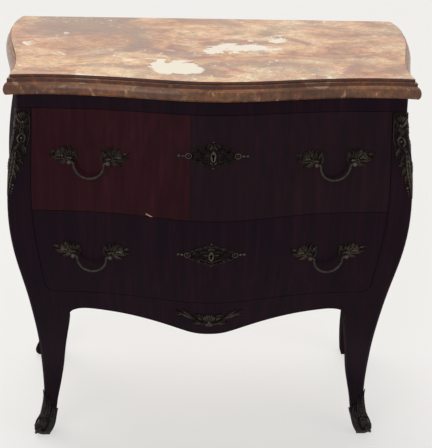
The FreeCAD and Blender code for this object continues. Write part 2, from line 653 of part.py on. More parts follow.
def handle_plate(pivot, sign, axis):
    """Cast leaf spray reaching outwards from one pivot, with its knuckle and threaded stem."""
    x = pivot.x
    z = pivot.z
    length = sign * PLATE_LENGTH
    rise = PLATE_HEIGHT
    shape = [(-0.14, -0.12), (0.08, -0.22), (0.36, -0.2), (0.62, -0.2), (0.86, -0.16), (0.9, 0.1), (0.8, 0.32),
             (0.58, 0.48), (0.34, 0.64), (0.08, 0.62), (-0.06, 0.42), (-0.16, 0.14)]
    points = [Vector(x + a * length, CUT_FRONT, z + b * rise) for a, b in shape]
    spline = Part.BSplineCurve()
    spline.interpolate(Points=points, PeriodicFlag=True)
    leaf = plate_stock.common(Part.Face(Part.Wire([spline.toShape()])).extrude(Vector(0, CUT_BACK - CUT_FRONT, 0)))
    skin_y = front_y(x, z)
    boss = rod(BOSS_RADIUS, Vector(x, pivot.y, z), Vector(0, 1, 0), skin_y - pivot.y - 1)
    boss = boss.cut(front_stock.translated(Vector(0, -MOUNT_GAP, 0)))
    knuckle = rod(KNUCKLE_RADIUS, pivot - axis * (KNUCKLE_LENGTH / 2), axis, KNUCKLE_LENGTH)
    stem = rod(STEM_RADIUS, Vector(x, skin_y - 2, z), Vector(0, 1, 0), inner_y(x) + NUT_THICKNESS + 1 - skin_y + 2)
    bore = rod(BAIL_RADIUS + PIVOT_GAP, pivot - axis * KNUCKLE_LENGTH, axis, 2 * KNUCKLE_LENGTH)
    return leaf.fuse([boss, knuckle, stem]).cut(bore)


def handle_nut(pivot):
    seat = Vector(pivot.x, inner_y(pivot.x) - SPOT_DEPTH, pivot.z)
    corners = []
    for i in range(7):
        angle = math.radians(60 * i)
        corners.append(seat + Vector(NUT_RADIUS * math.cos(angle), 0, NUT_RADIUS * math.sin(angle)))
    nut = Part.Face(Part.makePolygon(corners)).extrude(Vector(0, NUT_THICKNESS, 0))
    return nut.cut(rod(STEM_RADIUS, seat - Vector(0, 1, 0), Vector(0, 1, 0), NUT_THICKNESS + 2))


def handle_bail(inner, outer):
    """Bent rod: its two ends turn in the knuckles and it hangs as a bow between them."""
    middle = (inner + outer) * 0.5
    along = (outer - inner).normalize()
    down = Vector(0, 0, -1)
    half = (outer - inner).Length / 2

    def at(u, v):
        return middle + along * u + down * v

    start = half + KNUCKLE_LENGTH / 2 - 1
    lean = BAIL_ELBOW * (1 - math.sqrt(0.5))
    edges = [Part.LineSegment(at(-start, 0), at(-BAIL_BEND - BAIL_ELBOW, 0)).toShape(),
             Part.Arc(at(-BAIL_BEND - BAIL_ELBOW, 0), at(-BAIL_BEND - lean, lean), at(-BAIL_BEND, BAIL_ELBOW)).toShape(),
             Part.Arc(at(-BAIL_BEND, BAIL_ELBOW), at(0, BAIL_ELBOW + BAIL_BEND), at(BAIL_BEND, BAIL_ELBOW)).toShape(),
             Part.Arc(at(BAIL_BEND, BAIL_ELBOW), at(BAIL_BEND + lean, lean), at(BAIL_BEND + BAIL_ELBOW, 0)).toShape(),
             Part.LineSegment(at(BAIL_BEND + BAIL_ELBOW, 0), at(start, 0)).toShape()]
    section = Part.Wire([Part.Circle(at(-start, 0), along, BAIL_RADIUS).toShape()])
    return Part.Wire(edges).makePipeShell([section], True, False)


def escutcheon(key_z):
    shape = [(0.02, -1), (0.18, -0.62), (0.42, -0.5), (0.68, -0.3), (1, 0), (0.68, 0.3), (0.42, 0.5), (0.18, 0.66),
             (0, 1)]
    points = []
    for a, b in shape:
        reach = ESCUTCHEON_RISE if b > 0 else ESCUTCHEON_FALL
        points.append(Vector(a * ESCUTCHEON_HALF, CUT_FRONT, key_z + b * reach))
    points += [Vector(-p.x, p.y, p.z) for p in reversed(points[:-1])]
    outline = Part.Face(Part.Wire(polyline(points + [points[0]])))
    plate = plate_stock.common(outline.extrude(Vector(0, CUT_BACK - CUT_FRONT, 0)))
    return plate.cut(keyhole(key_z))


def drawer(prefix, z0, z1, radius, rebate, side, side_z0, side_z1, lock_top, pivot_z):
    key_z = z1 - KEY_BELOW_TOP
    inner, outer = handle_points(pivot_z)
    axis = (outer - inner).normalize()
    plate_in = handle_plate(inner, -1, axis)
    plate_out = handle_plate(outer, 1, axis)
    bail = handle_bail(inner, outer)
    board = drawer_side(side, side_z0, side_z1)
    nuts = pair(handle_nut(inner)) + pair(handle_nut(outer))
    return {
        prefix + "_drawer_front": drawer_front(z0, z1, radius, rebate, side, side_z0, side_z1, lock_top, key_z, pivot_z),
        prefix + "_drawer_left_side": mirrored(board),
        prefix + "_drawer_right_side": board,
        prefix + "_drawer_back": drawer_back(side, side_z0, side_z1),
        prefix + "_drawer_bottom": drawer_bottom(side, side_z0),
        prefix + "_lock_case": lock_case(lock_top, key_z),
        prefix + "_lock_bolt": lock_bolt(lock_top),
        prefix + "_escutcheon": escutcheon(key_z),
        prefix + "_left_handle_outer_plate": mirrored(plate_out),
        prefix + "_left_handle_inner_plate": mirrored(plate_in),
        prefix + "_right_handle_inner_plate": plate_in,
        prefix + "_right_handle_outer_plate": plate_out,
        prefix + "_handle_nuts": Part.makeCompound(nuts),
        prefix + "_left_bail": mirrored(bail),
        prefix + "_right_bail": bail,
    }


# ---- bronze on the case ----
def chute_section(z, reach):
    """Angle of bronze round the arris, wide on the front face and narrow on the side."""
    gap = MOUNT_GAP
    x = arris_x(z)
    y = arris_y(z)
    near = (ARRIS_RADIUS + gap) / math.cos(math.radians(22.5))
    far = ARRIS_RADIUS + CHUTE_EDGE
    low = math.sin(math.radians(22.5))
    high = math.cos(math.radians(22.5))
    cx = x - ARRIS_RADIUS
    cy = y + ARRIS_RADIUS
    wrap_y = y + CHUTE_WRAP
    wrap_x = side_x(wrap_y, z) + gap
    end_x = x - reach
    end_y = front_y(end_x, z) - gap
    mid_x = x - 0.6 * reach
    ring = [(end_x, end_y), (cx, y - gap), (cx + near * low, cy - near * high), (cx + near * high, cy - near * low),
            (x + gap, cy), (wrap_x, wrap_y), (wrap_x + 1, wrap_y), (cx + far, cy), (cx + far * high, cy - far * low),
            (cx + far * low, cy - far * high), (cx, y - CHUTE_THICKNESS), (mid_x, front_y(mid_x, z) - CHUTE_THICKNESS),
            (end_x, end_y - 1)]
    points = [Vector(a, b, z) for a, b in ring]
    return Part.makePolygon(points + [points[0]])


def corner_mount():
    top = FRIEZE_BOTTOM - 2
    width = smooth([(0, 0.72), (0.08, 0.9), (0.2, 0.9), (0.28, 0.74), (0.4, 0.95), (0.55, 1), (0.7, 0.75), (0.85, 0.5),
                    (1, 0.4)])
    sections = [chute_section(top - share * CHUTE_LENGTH, width(share) * CHUTE_WIDTH) for share in spread(0, 1, 17)]
    return Part.makeLoft(sections, True, True)


def sabot(leg):
    shares = [s for s in LEG_SHARES if station(s) < SABOT_HEIGHT]
    heights = [station(s) for s in shares] + [SABOT_HEIGHT]
    shell = Part.makeLoft([front_post_section(z, SABOT_THICKNESS) for z in heights], True, False)
    back = POST_BACK + leg_back(SABOT_COLLAR) + 40
    slope = [Vector(0, arris_y(SABOT_HEIGHT) + 6, SABOT_HEIGHT + 1), Vector(0, back, SABOT_COLLAR),
             Vector(0, back, SABOT_HEIGHT + 1)]
    trim = Part.Face(Part.makePolygon(slope + [slope[0]])).extrude(Vector(CLEAR_OUT, 0, 0))
    return shell.cut(leg).cut(trim)


def apron_mount():
    foot = APRON_TOP - APRON_DROP + APRON_MOUNT_FOOT
    shape = [(0, 0), (0.1, 0.06), (0.3, 0.3), (0.62, 0.62), (1, 1), (0.66, 0.98), (0.34, 0.86), (0.14, 0.95), (0, 1)]
    points = [Vector(a * APRON_MOUNT_HALF, CUT_FRONT, foot + b * APRON_MOUNT_HEIGHT) for a, b in shape]
    points += [Vector(-p.x, p.y, p.z) for p in reversed(points[1:-1])]
    outline = Part.Face(Part.Wire(polyline(points + [points[0]])))
    return plate_stock.common(outline.extrude(Vector(0, CUT_BACK - CUT_FRONT, 0)))


# ---- back and fixings ----
def back_panel():
    half = REAR_POST_INNER + BACK_REBATE
    return box(-half, half, PANEL_FACE, REAR_LINE, APRON_TOP - BACK_PANEL_DROP, CASE_TOP)


def screw_places():
    places = []
    for z in (CASE_TOP - FRIEZE_HEIGHT / 2, JOINT_Z, APRON_TOP - RAIL_THICKNESS / 2):
        places += [(x, z) for x in spread(SCREW_INSET - REAR_POST_INNER, REAR_POST_INNER - SCREW_INSET, 4)]
    return places


def panel_screw(x, z):
    head = rod(SCREW_HEAD, Vector(x, REAR_LINE, z), Vector(0, 1, 0), 2.0)
    shank = rod(SCREW_SHANK, Vector(x, REAR_LINE - SCREW_LENGTH, z), Vector(0, 1, 0), SCREW_LENGTH)
    return head.fuse(shank)


def glue_blocks(apron):
    blocks = []
    for x in (LEG_HEAD - BLOCK_INSET - BLOCK_PITCH, LEG_HEAD - BLOCK_INSET):
        raw = box(x - BLOCK_LENGTH / 2, x + BLOCK_LENGTH / 2, INNER_CENTRE - 10, INNER_LINE + BLOCK_SIZE,
                  APRON_TOP - RAIL_THICKNESS - BLOCK_SIZE, APRON_TOP - RAIL_THICKNESS)
        reach = inner_y(x) + BLOCK_SIZE
        raw = raw.common(box(x - BLOCK_LENGTH, x + BLOCK_LENGTH, INNER_CENTRE - 10, reach, 0, CASE_TOP))
        trimmed = raw.cut(apron)
        blocks += pair(max(trimmed.Solids, key=lambda s: s.BoundBox.YMax))
    return blocks


def case_parts():
    post = front_leg_post()
    rear = rear_leg_post()
    panel = side_panel()
    apron = front_apron()
    screws = [panel_screw(x, z) for x, z in screw_places()]
    shanks = Part.makeCompound(screws)
    upper_runner = runner(UPPER_SIDE_OUT + RUNNER_REACH, RAIL_TOP)
    lower_runner = runner(LOWER_SIDE_OUT + RUNNER_REACH, APRON_TOP)
    kicker_edge = UPPER_SIDE_OUT + KICKER_REACH
    kicker = box(kicker_edge - KICKER_WIDTH, kicker_edge, POST_BACK, BACK_RAIL_FACE, FRIEZE_BOTTOM,
                 FRIEZE_BOTTOM + RAIL_THICKNESS)
    upper_guide = guide(UPPER_SIDE_OUT, RAIL_TOP)
    lower_guide = guide(LOWER_SIDE_OUT, APRON_TOP)
    stops = pair(stop_block(UPPER_SIDE_OUT, RAIL_TOP)) + pair(stop_block(LOWER_SIDE_OUT, APRON_TOP))
    mount = corner_mount()
    shoe = sabot(post)
    return {
        "marble_top": marble_top(),
        "front_left_leg_post": mirrored(post),
        "front_right_leg_post": post,
        "rear_left_leg_post": mirrored(rear),
        "rear_right_leg_post": rear,
        "left_side_panel": mirrored(panel),
        "right_side_panel": panel,
        "frieze_rail": frieze_rail(),
        "middle_rail": middle_rail(),
        "lower_rail": lower_rail(),
        "front_apron": apron,
        "top_back_rail": back_rail(FRIEZE_BOTTOM, FRIEZE_HEIGHT).cut(shanks),
        "middle_back_rail": back_rail(RAIL_BOTTOM, RAIL_THICKNESS).cut(shanks),
        "lower_back_rail": back_rail(APRON_TOP - RAIL_THICKNESS, RAIL_THICKNESS).cut(shanks),
        "back_panel": back_panel().cut(shanks),
        "upper_left_runner": mirrored(upper_runner),
        "upper_right_runner": upper_runner,
        "lower_left_runner": mirrored(lower_runner),
        "lower_right_runner": lower_runner,
        "kickers": Part.makeCompound(pair(kicker)),
        "drawer_guides": Part.makeCompound(pair(upper_guide) + pair(lower_guide)),
        "drawer_stops": Part.makeCompound(stops),
        "glue_blocks": Part.makeCompound(glue_blocks(apron)),
        "back_panel_screws": shanks,
        "left_corner_mount": mirrored(mount),
        "right_corner_mount": mount,
        "left_sabot": mirrored(shoe),
        "right_sabot": shoe,
        "apron_mount": apron_mount(),
    }


def all_parts():
    parts = case_parts()
    parts.update(drawer("upper", UPPER_BOTTOM, UPPER_TOP, 0, (UPPER_BOTTOM - 5, RAIL_TOP + REBATE_GAP), UPPER_SIDE_OUT,
                        RAIL_TOP + SLIDE_GAP, UPPER_TOP - DRAWER_HEAD_GAP, UPPER_TOP, UPPER_PIVOT_Z))
    parts.update(drawer("lower", LOWER_BOTTOM, LOWER_TOP, CORNER_RADIUS, (RAIL_BOTTOM - REBATE_GAP, LOWER_TOP + 5),
                        LOWER_SIDE_OUT, APRON_TOP + SLIDE_GAP, RAIL_BOTTOM - DRAWER_HEAD_GAP,
                        RAIL_BOTTOM - REBATE_GAP, LOWER_PIVOT_Z))
    return parts


def export(parts):
    tips = [shape.optimalBoundingBox().YMin for shape in parts.values()]
    shift = Vector(0, -(min(tips) + STONE_BACK) / 2, 0)
    os.makedirs("parts", exist_ok=True)
    for name, shape in parts.items():
        shape.translate(shift)
        shape.exportStep("parts/" + name + ".step")


if __name__ == "__main__":
    export(all_parts())
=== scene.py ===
import json
import math

import bmesh
import bpy
from mathutils import Matrix, Vector
from mathutils.bvhtree import BVHTree


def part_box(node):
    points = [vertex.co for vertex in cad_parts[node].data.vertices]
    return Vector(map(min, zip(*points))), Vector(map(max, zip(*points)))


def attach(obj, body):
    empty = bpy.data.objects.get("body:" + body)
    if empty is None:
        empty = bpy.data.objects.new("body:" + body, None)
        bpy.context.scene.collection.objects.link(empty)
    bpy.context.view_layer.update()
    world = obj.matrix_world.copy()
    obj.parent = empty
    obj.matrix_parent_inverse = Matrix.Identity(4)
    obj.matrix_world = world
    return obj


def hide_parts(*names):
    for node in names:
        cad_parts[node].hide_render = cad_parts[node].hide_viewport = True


# Finishes and cast mounts of a bombe chest with a marble top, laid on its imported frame.
# Pieces are in metres. Patterns and castings are drawn in millimetres.
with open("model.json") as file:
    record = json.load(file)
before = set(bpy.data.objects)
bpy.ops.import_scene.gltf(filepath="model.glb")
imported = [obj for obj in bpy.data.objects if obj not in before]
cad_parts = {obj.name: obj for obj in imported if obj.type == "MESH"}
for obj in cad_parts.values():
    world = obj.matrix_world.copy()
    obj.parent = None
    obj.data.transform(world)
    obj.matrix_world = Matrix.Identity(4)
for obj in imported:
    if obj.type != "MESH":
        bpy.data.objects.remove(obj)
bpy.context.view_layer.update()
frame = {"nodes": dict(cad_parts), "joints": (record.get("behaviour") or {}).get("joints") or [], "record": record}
nodes = frame["nodes"]

STONE_TOP = 0.86        # m, height of the marble's flat
FLAT_FROM = 859.9       # mm, all of the stone below this is its moulded edge
FILLETS_FROM = 846.0    # mm, the two thin steps over the rounded nose
LEAF_JOINT = -42        # mm, x of the joint between the two leaves of veneer on the upper front
CHIP = (-119, 600)      # mm, x and z of the chip in the upper front
FRIEZE_JOINT = 798      # mm, height of the joint under the frieze


# ---------------------------------------------------------------- nodes
def srgb(code):
    """#rrggbb as the linear values that shader sockets take."""
    out = []
    for i in (1, 3, 5):
        c = int(code[i:i + 2], 16) / 255
        out.append(c / 12.92 if c <= 0.04045 else ((c + 0.055) / 1.055) ** 2.4)
    return (*out, 1.0)


def plug(node, inputs):
    """Fills a node's inputs. Each takes a value, a #rrggbb colour or another node's output."""
    for socket, value in inputs.items():
        target = node.inputs[socket]
        if isinstance(value, bpy.types.NodeSocket):
            node.id_data.links.new(value, target)
        elif isinstance(value, str) and value.startswith("#"):
            target.default_value = srgb(value)
        else:
            target.default_value = value


def add(tree, kind, inputs=None, stops=(), **settings):
    """Adds one node and returns its outputs. stops are a ramp's (place, grey or #rrggbb)."""
    node = tree.nodes.new(kind)
    for name, value in settings.items():
        setattr(node, name, value)
    plug(node, inputs or {})
    if stops:
        elements = node.color_ramp.elements
        while len(elements) < len(stops):
            elements.new(0.5)
        for element, (place, tone) in zip(elements, stops):
            element.position = place
            element.color = srgb(tone) if isinstance(tone, str) else (tone, tone, tone, 1)
    return node.outputs


def new_material(name):
    """Returns the material, its tree and its shader."""
    mat = bpy.data.materials.new(name)
    mat.use_nodes = True
    return mat, mat.node_tree, mat.node_tree.nodes["Principled BSDF"]


def millimetres(tree, stretch=(1, 1, 1), turn=0.0):
    """Where a point of the piece is, in mm. A stretch below 1 draws a pattern out that way."""
    place = add(tree, "ShaderNodeTexCoord")["Object"]
    return add(tree, "ShaderNodeMapping", {"Vector": place, "Rotation": (0, 0, turn),
                                           "Scale": tuple(1000 * s for s in stretch)})[0]


def pattern(tree, size, stops=(), stretch=(1, 1, 1), turn=0.0,
            detail=3.0, roughness=0.5, distortion=0.0):
    """A cloudy pattern with features about size mm across, in the tones of stops if given."""
    cloud = add(tree, "ShaderNodeTexNoise", {
        "Vector": millimetres(tree, stretch, turn), "Scale": 1 / size, "Detail": detail,
        "Roughness": roughness, "Distortion": distortion})["Fac"]
    return add(tree, "ShaderNodeValToRGB", {"Fac": cloud}, stops)[0] if stops else cloud


COVER, UNDER, OVER, COATED = 0, 6, 7, 2     # a Mix node's sockets, where it mixes colours


def coats(tree, ground, *layers):
    """Lays coats over a ground colour.

    Each is its cover (a share or a mask) and its colour, then MULTIPLY where it only darkens.
    """
    for cover, colour, *way in layers:
        ground = add(tree, "ShaderNodeMix", {COVER: cover, UNDER: ground, OVER: colour},
                     data_type="RGBA", blend_type=way[0] if way else "MIX")[COATED]
    return ground


def oval(tree, centre, reach, turn):
    """1 in the middle of an oval on the slab, falling to 0 at its edge; centre, reach in mm."""
    spot = add(tree, "ShaderNodeMapping", {
        "Vector": add(tree, "ShaderNodeTexCoord")["Object"],
        "Location": (centre[0] / 1000, centre[1] / 1000, STONE_TOP),
        "Rotation": (0, 0, turn),
        "Scale": (reach[0] / 1000, reach[1] / 1000, 1)}, vector_type="TEXTURE")[0]
    away = add(tree, "ShaderNodeVectorMath", {0: spot}, operation="LENGTH")["Value"]
    return add(tree, "ShaderNodeValToRGB", {"Fac": away}, [(0.0, 1.0), (1.0, 0.0)])[0]


def gather(tree, cloud, strength, *ovals):
    """Raises a cloudy pattern inside the ovals, so that its patches gather there."""
    for part in ovals:
        cloud = add(tree, "ShaderNodeMath", {0: part, 1: strength, 2: cloud},
                    operation="MULTIPLY_ADD")[0]
    return cloud


# ---------------------------------------------------------------- finishes
def veneer(name, leaf_joint=None, chip=None, band_line=None):
    """French-polished veneer: near-black red-brown, upright streaks, pores under a glossy film.

    The old film is finely crazed, so it is dull where it is seen edge on. The pores are drawn
    several times wider than real ones, so that they show.
    leaf_joint: x where a redder leaf of veneer ends. chip: x, z of a bare chip. band_line:
    height of a joint line. Without leaf_joint the veneer is painted darker and cooler, as shade.
    """
    mat, tree, shader = new_material(name)
    streaks = pattern(tree, 11.0, [(0.30, "#180a0e"), (0.52, "#261015"), (0.76, "#39171a")],
                      (1, 1, 0.03), detail=7.0, roughness=0.6, distortion=0.3)
    bands = pattern(tree, 38.0, [(0.38, 0.68), (0.62, 1.0)], (1, 1, 0.012), distortion=0.2)
    clouds = pattern(tree, 120.0, [(0.35, 0.66), (0.65, 1.0)], (1, 1, 0.4), distortion=0.3)
    pores = pattern(tree, 1.3, [(0.40, 0.6), (0.54, 1.0)], (1, 1, 0.03), roughness=0.65)
    wood = coats(tree, streaks, (0.85, bands, "MULTIPLY"), (0.8, clouds, "MULTIPLY"),
                 (0.4, pores, "MULTIPLY"))
    x, y, z = add(tree, "ShaderNodeSeparateXYZ", {0: millimetres(tree)})
    if leaf_joint is None:
        # painted shade: the veneer is laid half over near-black violet, a darker, cooler copy for the parts in
        # shade
        wood = coats(tree, wood, (0.5, "#110b19"))
    else:
        redder = coats(tree, wood, (0.22, "#451a25"))
        browner = coats(tree, wood, (0.45, "#1e161f"))
        beyond = add(tree, "ShaderNodeMath", {0: x, 1: leaf_joint}, operation="GREATER_THAN")[0]
        joint = add(tree, "ShaderNodeMath", {0: x, 1: leaf_joint, 2: 0.5}, operation="COMPARE")[0]
        wood = coats(tree, redder, (beyond, browner), (joint, "#0c0505"))
    if band_line is not None:
        joint = add(tree, "ShaderNodeMath", {0: z, 1: band_line, 2: 0.6}, operation="COMPARE")[0]
        wood = coats(tree, wood, (joint, "#0a0404"))
    if chip is not None:
        slant = (0.42, 0, 0.91)     # square to a sliver that falls to the right
        middle = slant[0] * chip[0] + slant[2] * chip[1]
        along = add(tree, "ShaderNodeVectorMath", {0: millimetres(tree), 1: slant},
                    operation="DOT_PRODUCT")["Value"]
        wide = add(tree, "ShaderNodeMath", {0: x, 1: chip[0], 2: 6.5}, operation="COMPARE")[0]
        high = add(tree, "ShaderNodeMath", {0: along, 1: middle, 2: 1.1}, operation="COMPARE")[0]
        wood = coats(tree, wood, (coats(tree, wide, (1.0, high, "MULTIPLY")), "#a58a72"))
    edge_on = add(tree, "ShaderNodeLayerWeight", {"Blend": 0.5})["Facing"]
    film = pattern(tree, 30.0, detail=2.0)
    plug(shader, {
        "Base Color": wood,
        "Roughness": add(tree, "ShaderNodeValToRGB", {"Fac": edge_on},
                         [(0.50, 0.32), (0.80, 0.95)])[0],
        "IOR": 1.5,
        "Specular IOR Level": 0.05,
        "Normal": add(tree, "ShaderNodeBump",
                      {"Height": film, "Strength": 0.6, "Distance": 0.0001})["Normal"]})
    return mat


def planed_oak():
    """Bare planed oak of the drawers and the carcase: tan and dry.

    Its long open pores are drawn several times wider than real ones, so that they show.
    """
    mat, tree, shader = new_material("planed oak")
    rings = pattern(tree, 9.0, [(0.3, "#7d5c3c"), (0.55, "#a07d55"), (0.75, "#b5946b")],
                    (0.05, 0.05, 1), detail=5.0, roughness=0.6, distortion=0.6)
    pores = pattern(tree, 1.1, (), (0.04, 0.04, 1), roughness=0.6)
    dark = add(tree, "ShaderNodeValToRGB", {"Fac": pores}, [(0.4, 0.6), (0.52, 1.0)])[0]
    plug(shader, {
        "Base Color": coats(tree, rings, (0.6, dark, "MULTIPLY")),
        "Roughness": 0.72,
        "Normal": add(tree, "ShaderNodeBump",
                      {"Height": pores, "Strength": 0.5, "Distance": 0.00015})["Normal"]})
    return mat


def polished_marble():
    """Polished brecciated marble: beige-peach ground, mauve-brown drifts, torn cream patches.

    The moulded edge is painted darker than the flat as shade, most on its upright faces and in
    its two thin steps, under a mottle of wax and rubbed wear. The left back of the flat is painted dimmer, as
    shade.
    """
    mat, tree, shader = new_material("polished brocatelle marble")
    along = (0.70, 0.95, 1.0)
    clouds = pattern(tree, 112.0, (), along, 0.09, 7.0, 0.6, 1.0)
    ground = add(tree, "ShaderNodeValToRGB", {"Fac": clouds}, [
        (0.30, "#b37e5c"), (0.42, "#dca074"), (0.50, "#f1be8a"), (0.60, "#f9d7a9"),
        (0.74, "#ebc9a0")])[0]
    grain = pattern(tree, 10.0, (), (0.55, 1, 1), 0.12, 9.0, 0.74, 1.0)
    mottle = add(tree, "ShaderNodeValToRGB", {"Fac": grain}, [(0.38, 0.50), (0.56, 1.0)])[0]
    warm = pattern(tree, 58.0, [(0.54, 0.0), (0.61, 0.60)], (0.7, 1.1, 1.1), 0.5, 8.0, 0.62, 1.0)
    drifts = gather(tree, pattern(tree, 92.0, (), (0.55, 1.05, 1.1), 0.16, 9.0, 0.62, 1.3), 0.13,
                    oval(tree, (-95, 0), (230, 110), 0.05), oval(tree, (80, 60), (210, 70), 0.12))
    stain = add(tree, "ShaderNodeValToRGB", {"Fac": drifts},
                [(0.53, 0.0), (0.60, 0.62), (0.72, 0.88)])[0]
    # painted shade: a greyish brown cloud dims the left back of the flat
    back_shade_cloud = gather(tree, pattern(tree, 170.0, (), (0.8, 1.0, 1.0), -0.3, 6.0, 0.6, 0.6), 0.2,
                  oval(tree, (-270, 90), (260, 150), 0.0))
    dull = add(tree, "ShaderNodeValToRGB", {"Fac": back_shade_cloud}, [(0.50, 0.0), (0.66, 0.85)])[0]
    threads = pattern(tree, 64.0, [(0.470, 0.0), (0.497, 0.55), (0.524, 0.0)], along, 0.09,
                      7.0, 0.6, 2.2)
    broken = add(tree, "ShaderNodeValToRGB", {"Fac": grain}, [(0.46, 0.0), (0.56, 1.0)])[0]
    torn = gather(tree, pattern(tree, 62.0, (), (0.68, 1.0, 1.0), -0.15, 8.0, 0.62, 0.9), 0.30,
                  oval(tree, (-60, -108), (66, 78), 0.0), oval(tree, (58, 18), (112, 50), 0.35))
    cream = add(tree, "ShaderNodeValToRGB", {"Fac": torn}, [(0.635, 0.0), (0.665, 0.92)])[0]
    specks = pattern(tree, 8.0, [(0.61, 0.0), (0.65, 0.85)], (0.7, 1, 1), 0.4, 4.0, 0.6, 0.8)
    strewn = add(tree, "ShaderNodeValToRGB", {"Fac": clouds}, [(0.46, 0.0), (0.54, 1.0)])[0]
    flat = coats(tree, ground, (0.9, mottle, "MULTIPLY"), (warm, "#eaa98a"), (stain, "#9d7265"),
                 (dull, "#9c7f6b"), (coats(tree, threads, (1.0, broken, "MULTIPLY")), "#8a5a4c"),
                 (cream, "#f8efdc"), (coats(tree, specks, (1.0, strewn, "MULTIPLY")), "#fce8c8"))

    wax = pattern(tree, 10.0, (), (1, 1, 0.5), 0.0, 6.0, 0.65)
    thick = add(tree, "ShaderNodeValToRGB", {"Fac": wax}, [(0.38, 0.45), (0.58, 1.0)])[0]
    rubbed = add(tree, "ShaderNodeValToRGB", {"Fac": wax}, [(0.60, 0.0), (0.68, 0.45)])[0]
    # painted shade: the moulded edge is the flat darkened to brown, under a mottle of wax and lighter rubbed
    # patches
    nose = coats(tree, flat, (1.0, "#856548", "MULTIPLY"), (0.85, thick, "MULTIPLY"),
                 (rubbed, "#c4a988"))
    z = add(tree, "ShaderNodeSeparateXYZ", {0: millimetres(tree)})["Z"]
    # painted shade: in the two thin steps the upright faces are darkened further, as dark grooves
    fillet_shade_mask = add(tree, "ShaderNodeMath", {0: z, 1: FILLETS_FROM}, operation="GREATER_THAN")[0]
    upright_edge_shade = coats(tree, nose, (fillet_shade_mask, coats(tree, nose, (1.0, "#b98355", "MULTIPLY"))))
    # painted shade: upright faces of the edge take the darkest colour, as if light fell from above
    normal = add(tree, "ShaderNodeNewGeometry")["Normal"]
    lift = add(tree, "ShaderNodeSeparateXYZ", {0: normal})["Z"]
    upright = add(tree, "ShaderNodeValToRGB", {"Fac": lift}, [(0.45, 1.0), (0.85, 0.0)])[0]
    # painted shade: the ledges of the edge are a little darker than the flat
    shaded_ledges = coats(tree, flat, (1.0, "#b8a497", "MULTIPLY"))
    edge = add(tree, "ShaderNodeMath", {0: z, 1: FLAT_FROM}, operation="LESS_THAN")[0]
    wear = pattern(tree, 34.0)
    plug(shader, {
        "Base Color": coats(tree, flat, (edge, coats(tree, shaded_ledges, (upright, upright_edge_shade)))),
        "Roughness": 0.22,
        "IOR": 1.49,
        "Normal": add(tree, "ShaderNodeBump",
                      {"Height": wear, "Strength": 0.5, "Distance": 0.00005})["Normal"]})
    return mat


def bronze(name, tones):
    """Dull old cast bronze: dark brown on the high parts, nearly black in the hollows.

    The spots of the patina are drawn coarser than real ones, so that they show.
    """
    mat, tree, shader = new_material(name)
    spots = pattern(tree, 5.0, list(zip((0.35, 0.55, 0.72), tones)), detail=5.0, roughness=0.6)
    open_air = add(tree, "ShaderNodeAmbientOcclusion", {"Distance": 0.0018}, samples=6)["AO"]
    high = add(tree, "ShaderNodeValToRGB", {"Fac": open_air}, [(0.10, 0.0), (0.55, 1.0)])[0]
    plug(shader, {"Base Color": coats(tree, "#231e1b", (high, spots)),
                  "Metallic": 0.8, "Roughness": 0.5})
    return mat


def filed_iron():
    """Dark filed iron of locks, nuts and screws. File marks are drawn coarse, so that they show."""
    mat, tree, shader = new_material("filed iron")
    marks = pattern(tree, 2.0, [(0.35, "#3a3836"), (0.65, "#6a6764")], (1, 1, 6))
    plug(shader, {"Base Color": marks, "Metallic": 1.0, "Roughness": 0.5})
    return mat


def paint(obj, mat):
    """Gives the whole piece one material."""
    if not obj.material_slots:
        obj.data.materials.append(mat)
    for slot in obj.material_slots:
        slot.material = mat


# by the record's material slots
FINISHES = {
    "veneer": veneer("french polished veneer"),
    "oak": planed_oak(),
    "marble": polished_marble(),
    "bronze": bronze("cast patinated bronze", ("#342e29", "#4a423b", "#625950")),
    "iron": filed_iron(),
}
for part in frame["record"]["subparts"]:
    paint(nodes[part["node"]], FINISHES[part["material_slot"]])

# the bails get a darker copy of the bronze: painted shade that dims their smooth round metal
bail_bronze_painted_shade = bronze("cast bronze painted darker as shade", ("#262220", "#37312b", "#494139"))
for name in nodes:
    if name.endswith("_bail"):
        paint(nodes[name], bail_bronze_painted_shade)

# the upper front has a redder leaf at its left, and has lost a chip at its lower edge
paint(nodes["upper_drawer_front"],
      veneer("french polished two leaf veneer", leaf_joint=LEAF_JOINT, chip=CHIP))
# the joint under the frieze runs on across the posts to the arris
post_veneer = veneer("french polished banded veneer", band_line=FRIEZE_JOINT)
for side in ("left", "right"):
    paint(nodes["front_" + side + "_leg_post"], post_veneer)


# ---------------------------------------------------------------- strokes of a casting
# A casting is drawn on the wood's surface in mm: u across, v up, w out of the wood.
SUNK = 0.5          # a stroke's foot lies this far below the surface
CURL_STEPS = 44     # points of a scroll
RING_STEPS = 28     # points of a ring
STEM_STEPS = 7      # points of a stem from one control to the next
LOBE_STEPS = 4      # points of a leaf from one control to the next, to each lobe
RIB_STEPS = 6       # sections to a rib of a shell
FULL_CURL = 2.5     # radians; an end that is curled further has a bead in its eye
EYE_BEAD = 0.62     # radius of that bead, as a share of the scroll's half width
NEAR_MIDDLE = 0.5   # a bead nearer the middle line than this isn't doubled by mirror
OFF_THE_WOOD = "a casting reaches past the wood it lies on"

# sections of a stroke: shares of its half width and of its height
HOLLOW = ((-1, 0), (-1, 0.62), (-0.74, 1), (-0.36, 0.66), (0, 0.52), (0.36, 0.66), (0.74, 1),
          (1, 0.62), (1, 0))
ROUND = ((-1, 0), (-0.94, 0.5), (-0.55, 0.9), (0, 1), (0.55, 0.9), (0.94, 0.5), (1, 0))
LEAF = ((-1, 0), (-1, 0.28), (-0.72, 0.78), (-0.36, 1), (0, 0.48), (0.36, 1), (0.72, 0.78),
        (1, 0.28), (1, 0))
RIB = ((0.1, 0), (0.1, 0.45), (0.35, 0.7), (0.65, 0.95), (0.88, 1), (1, 0.45), (1, 0))


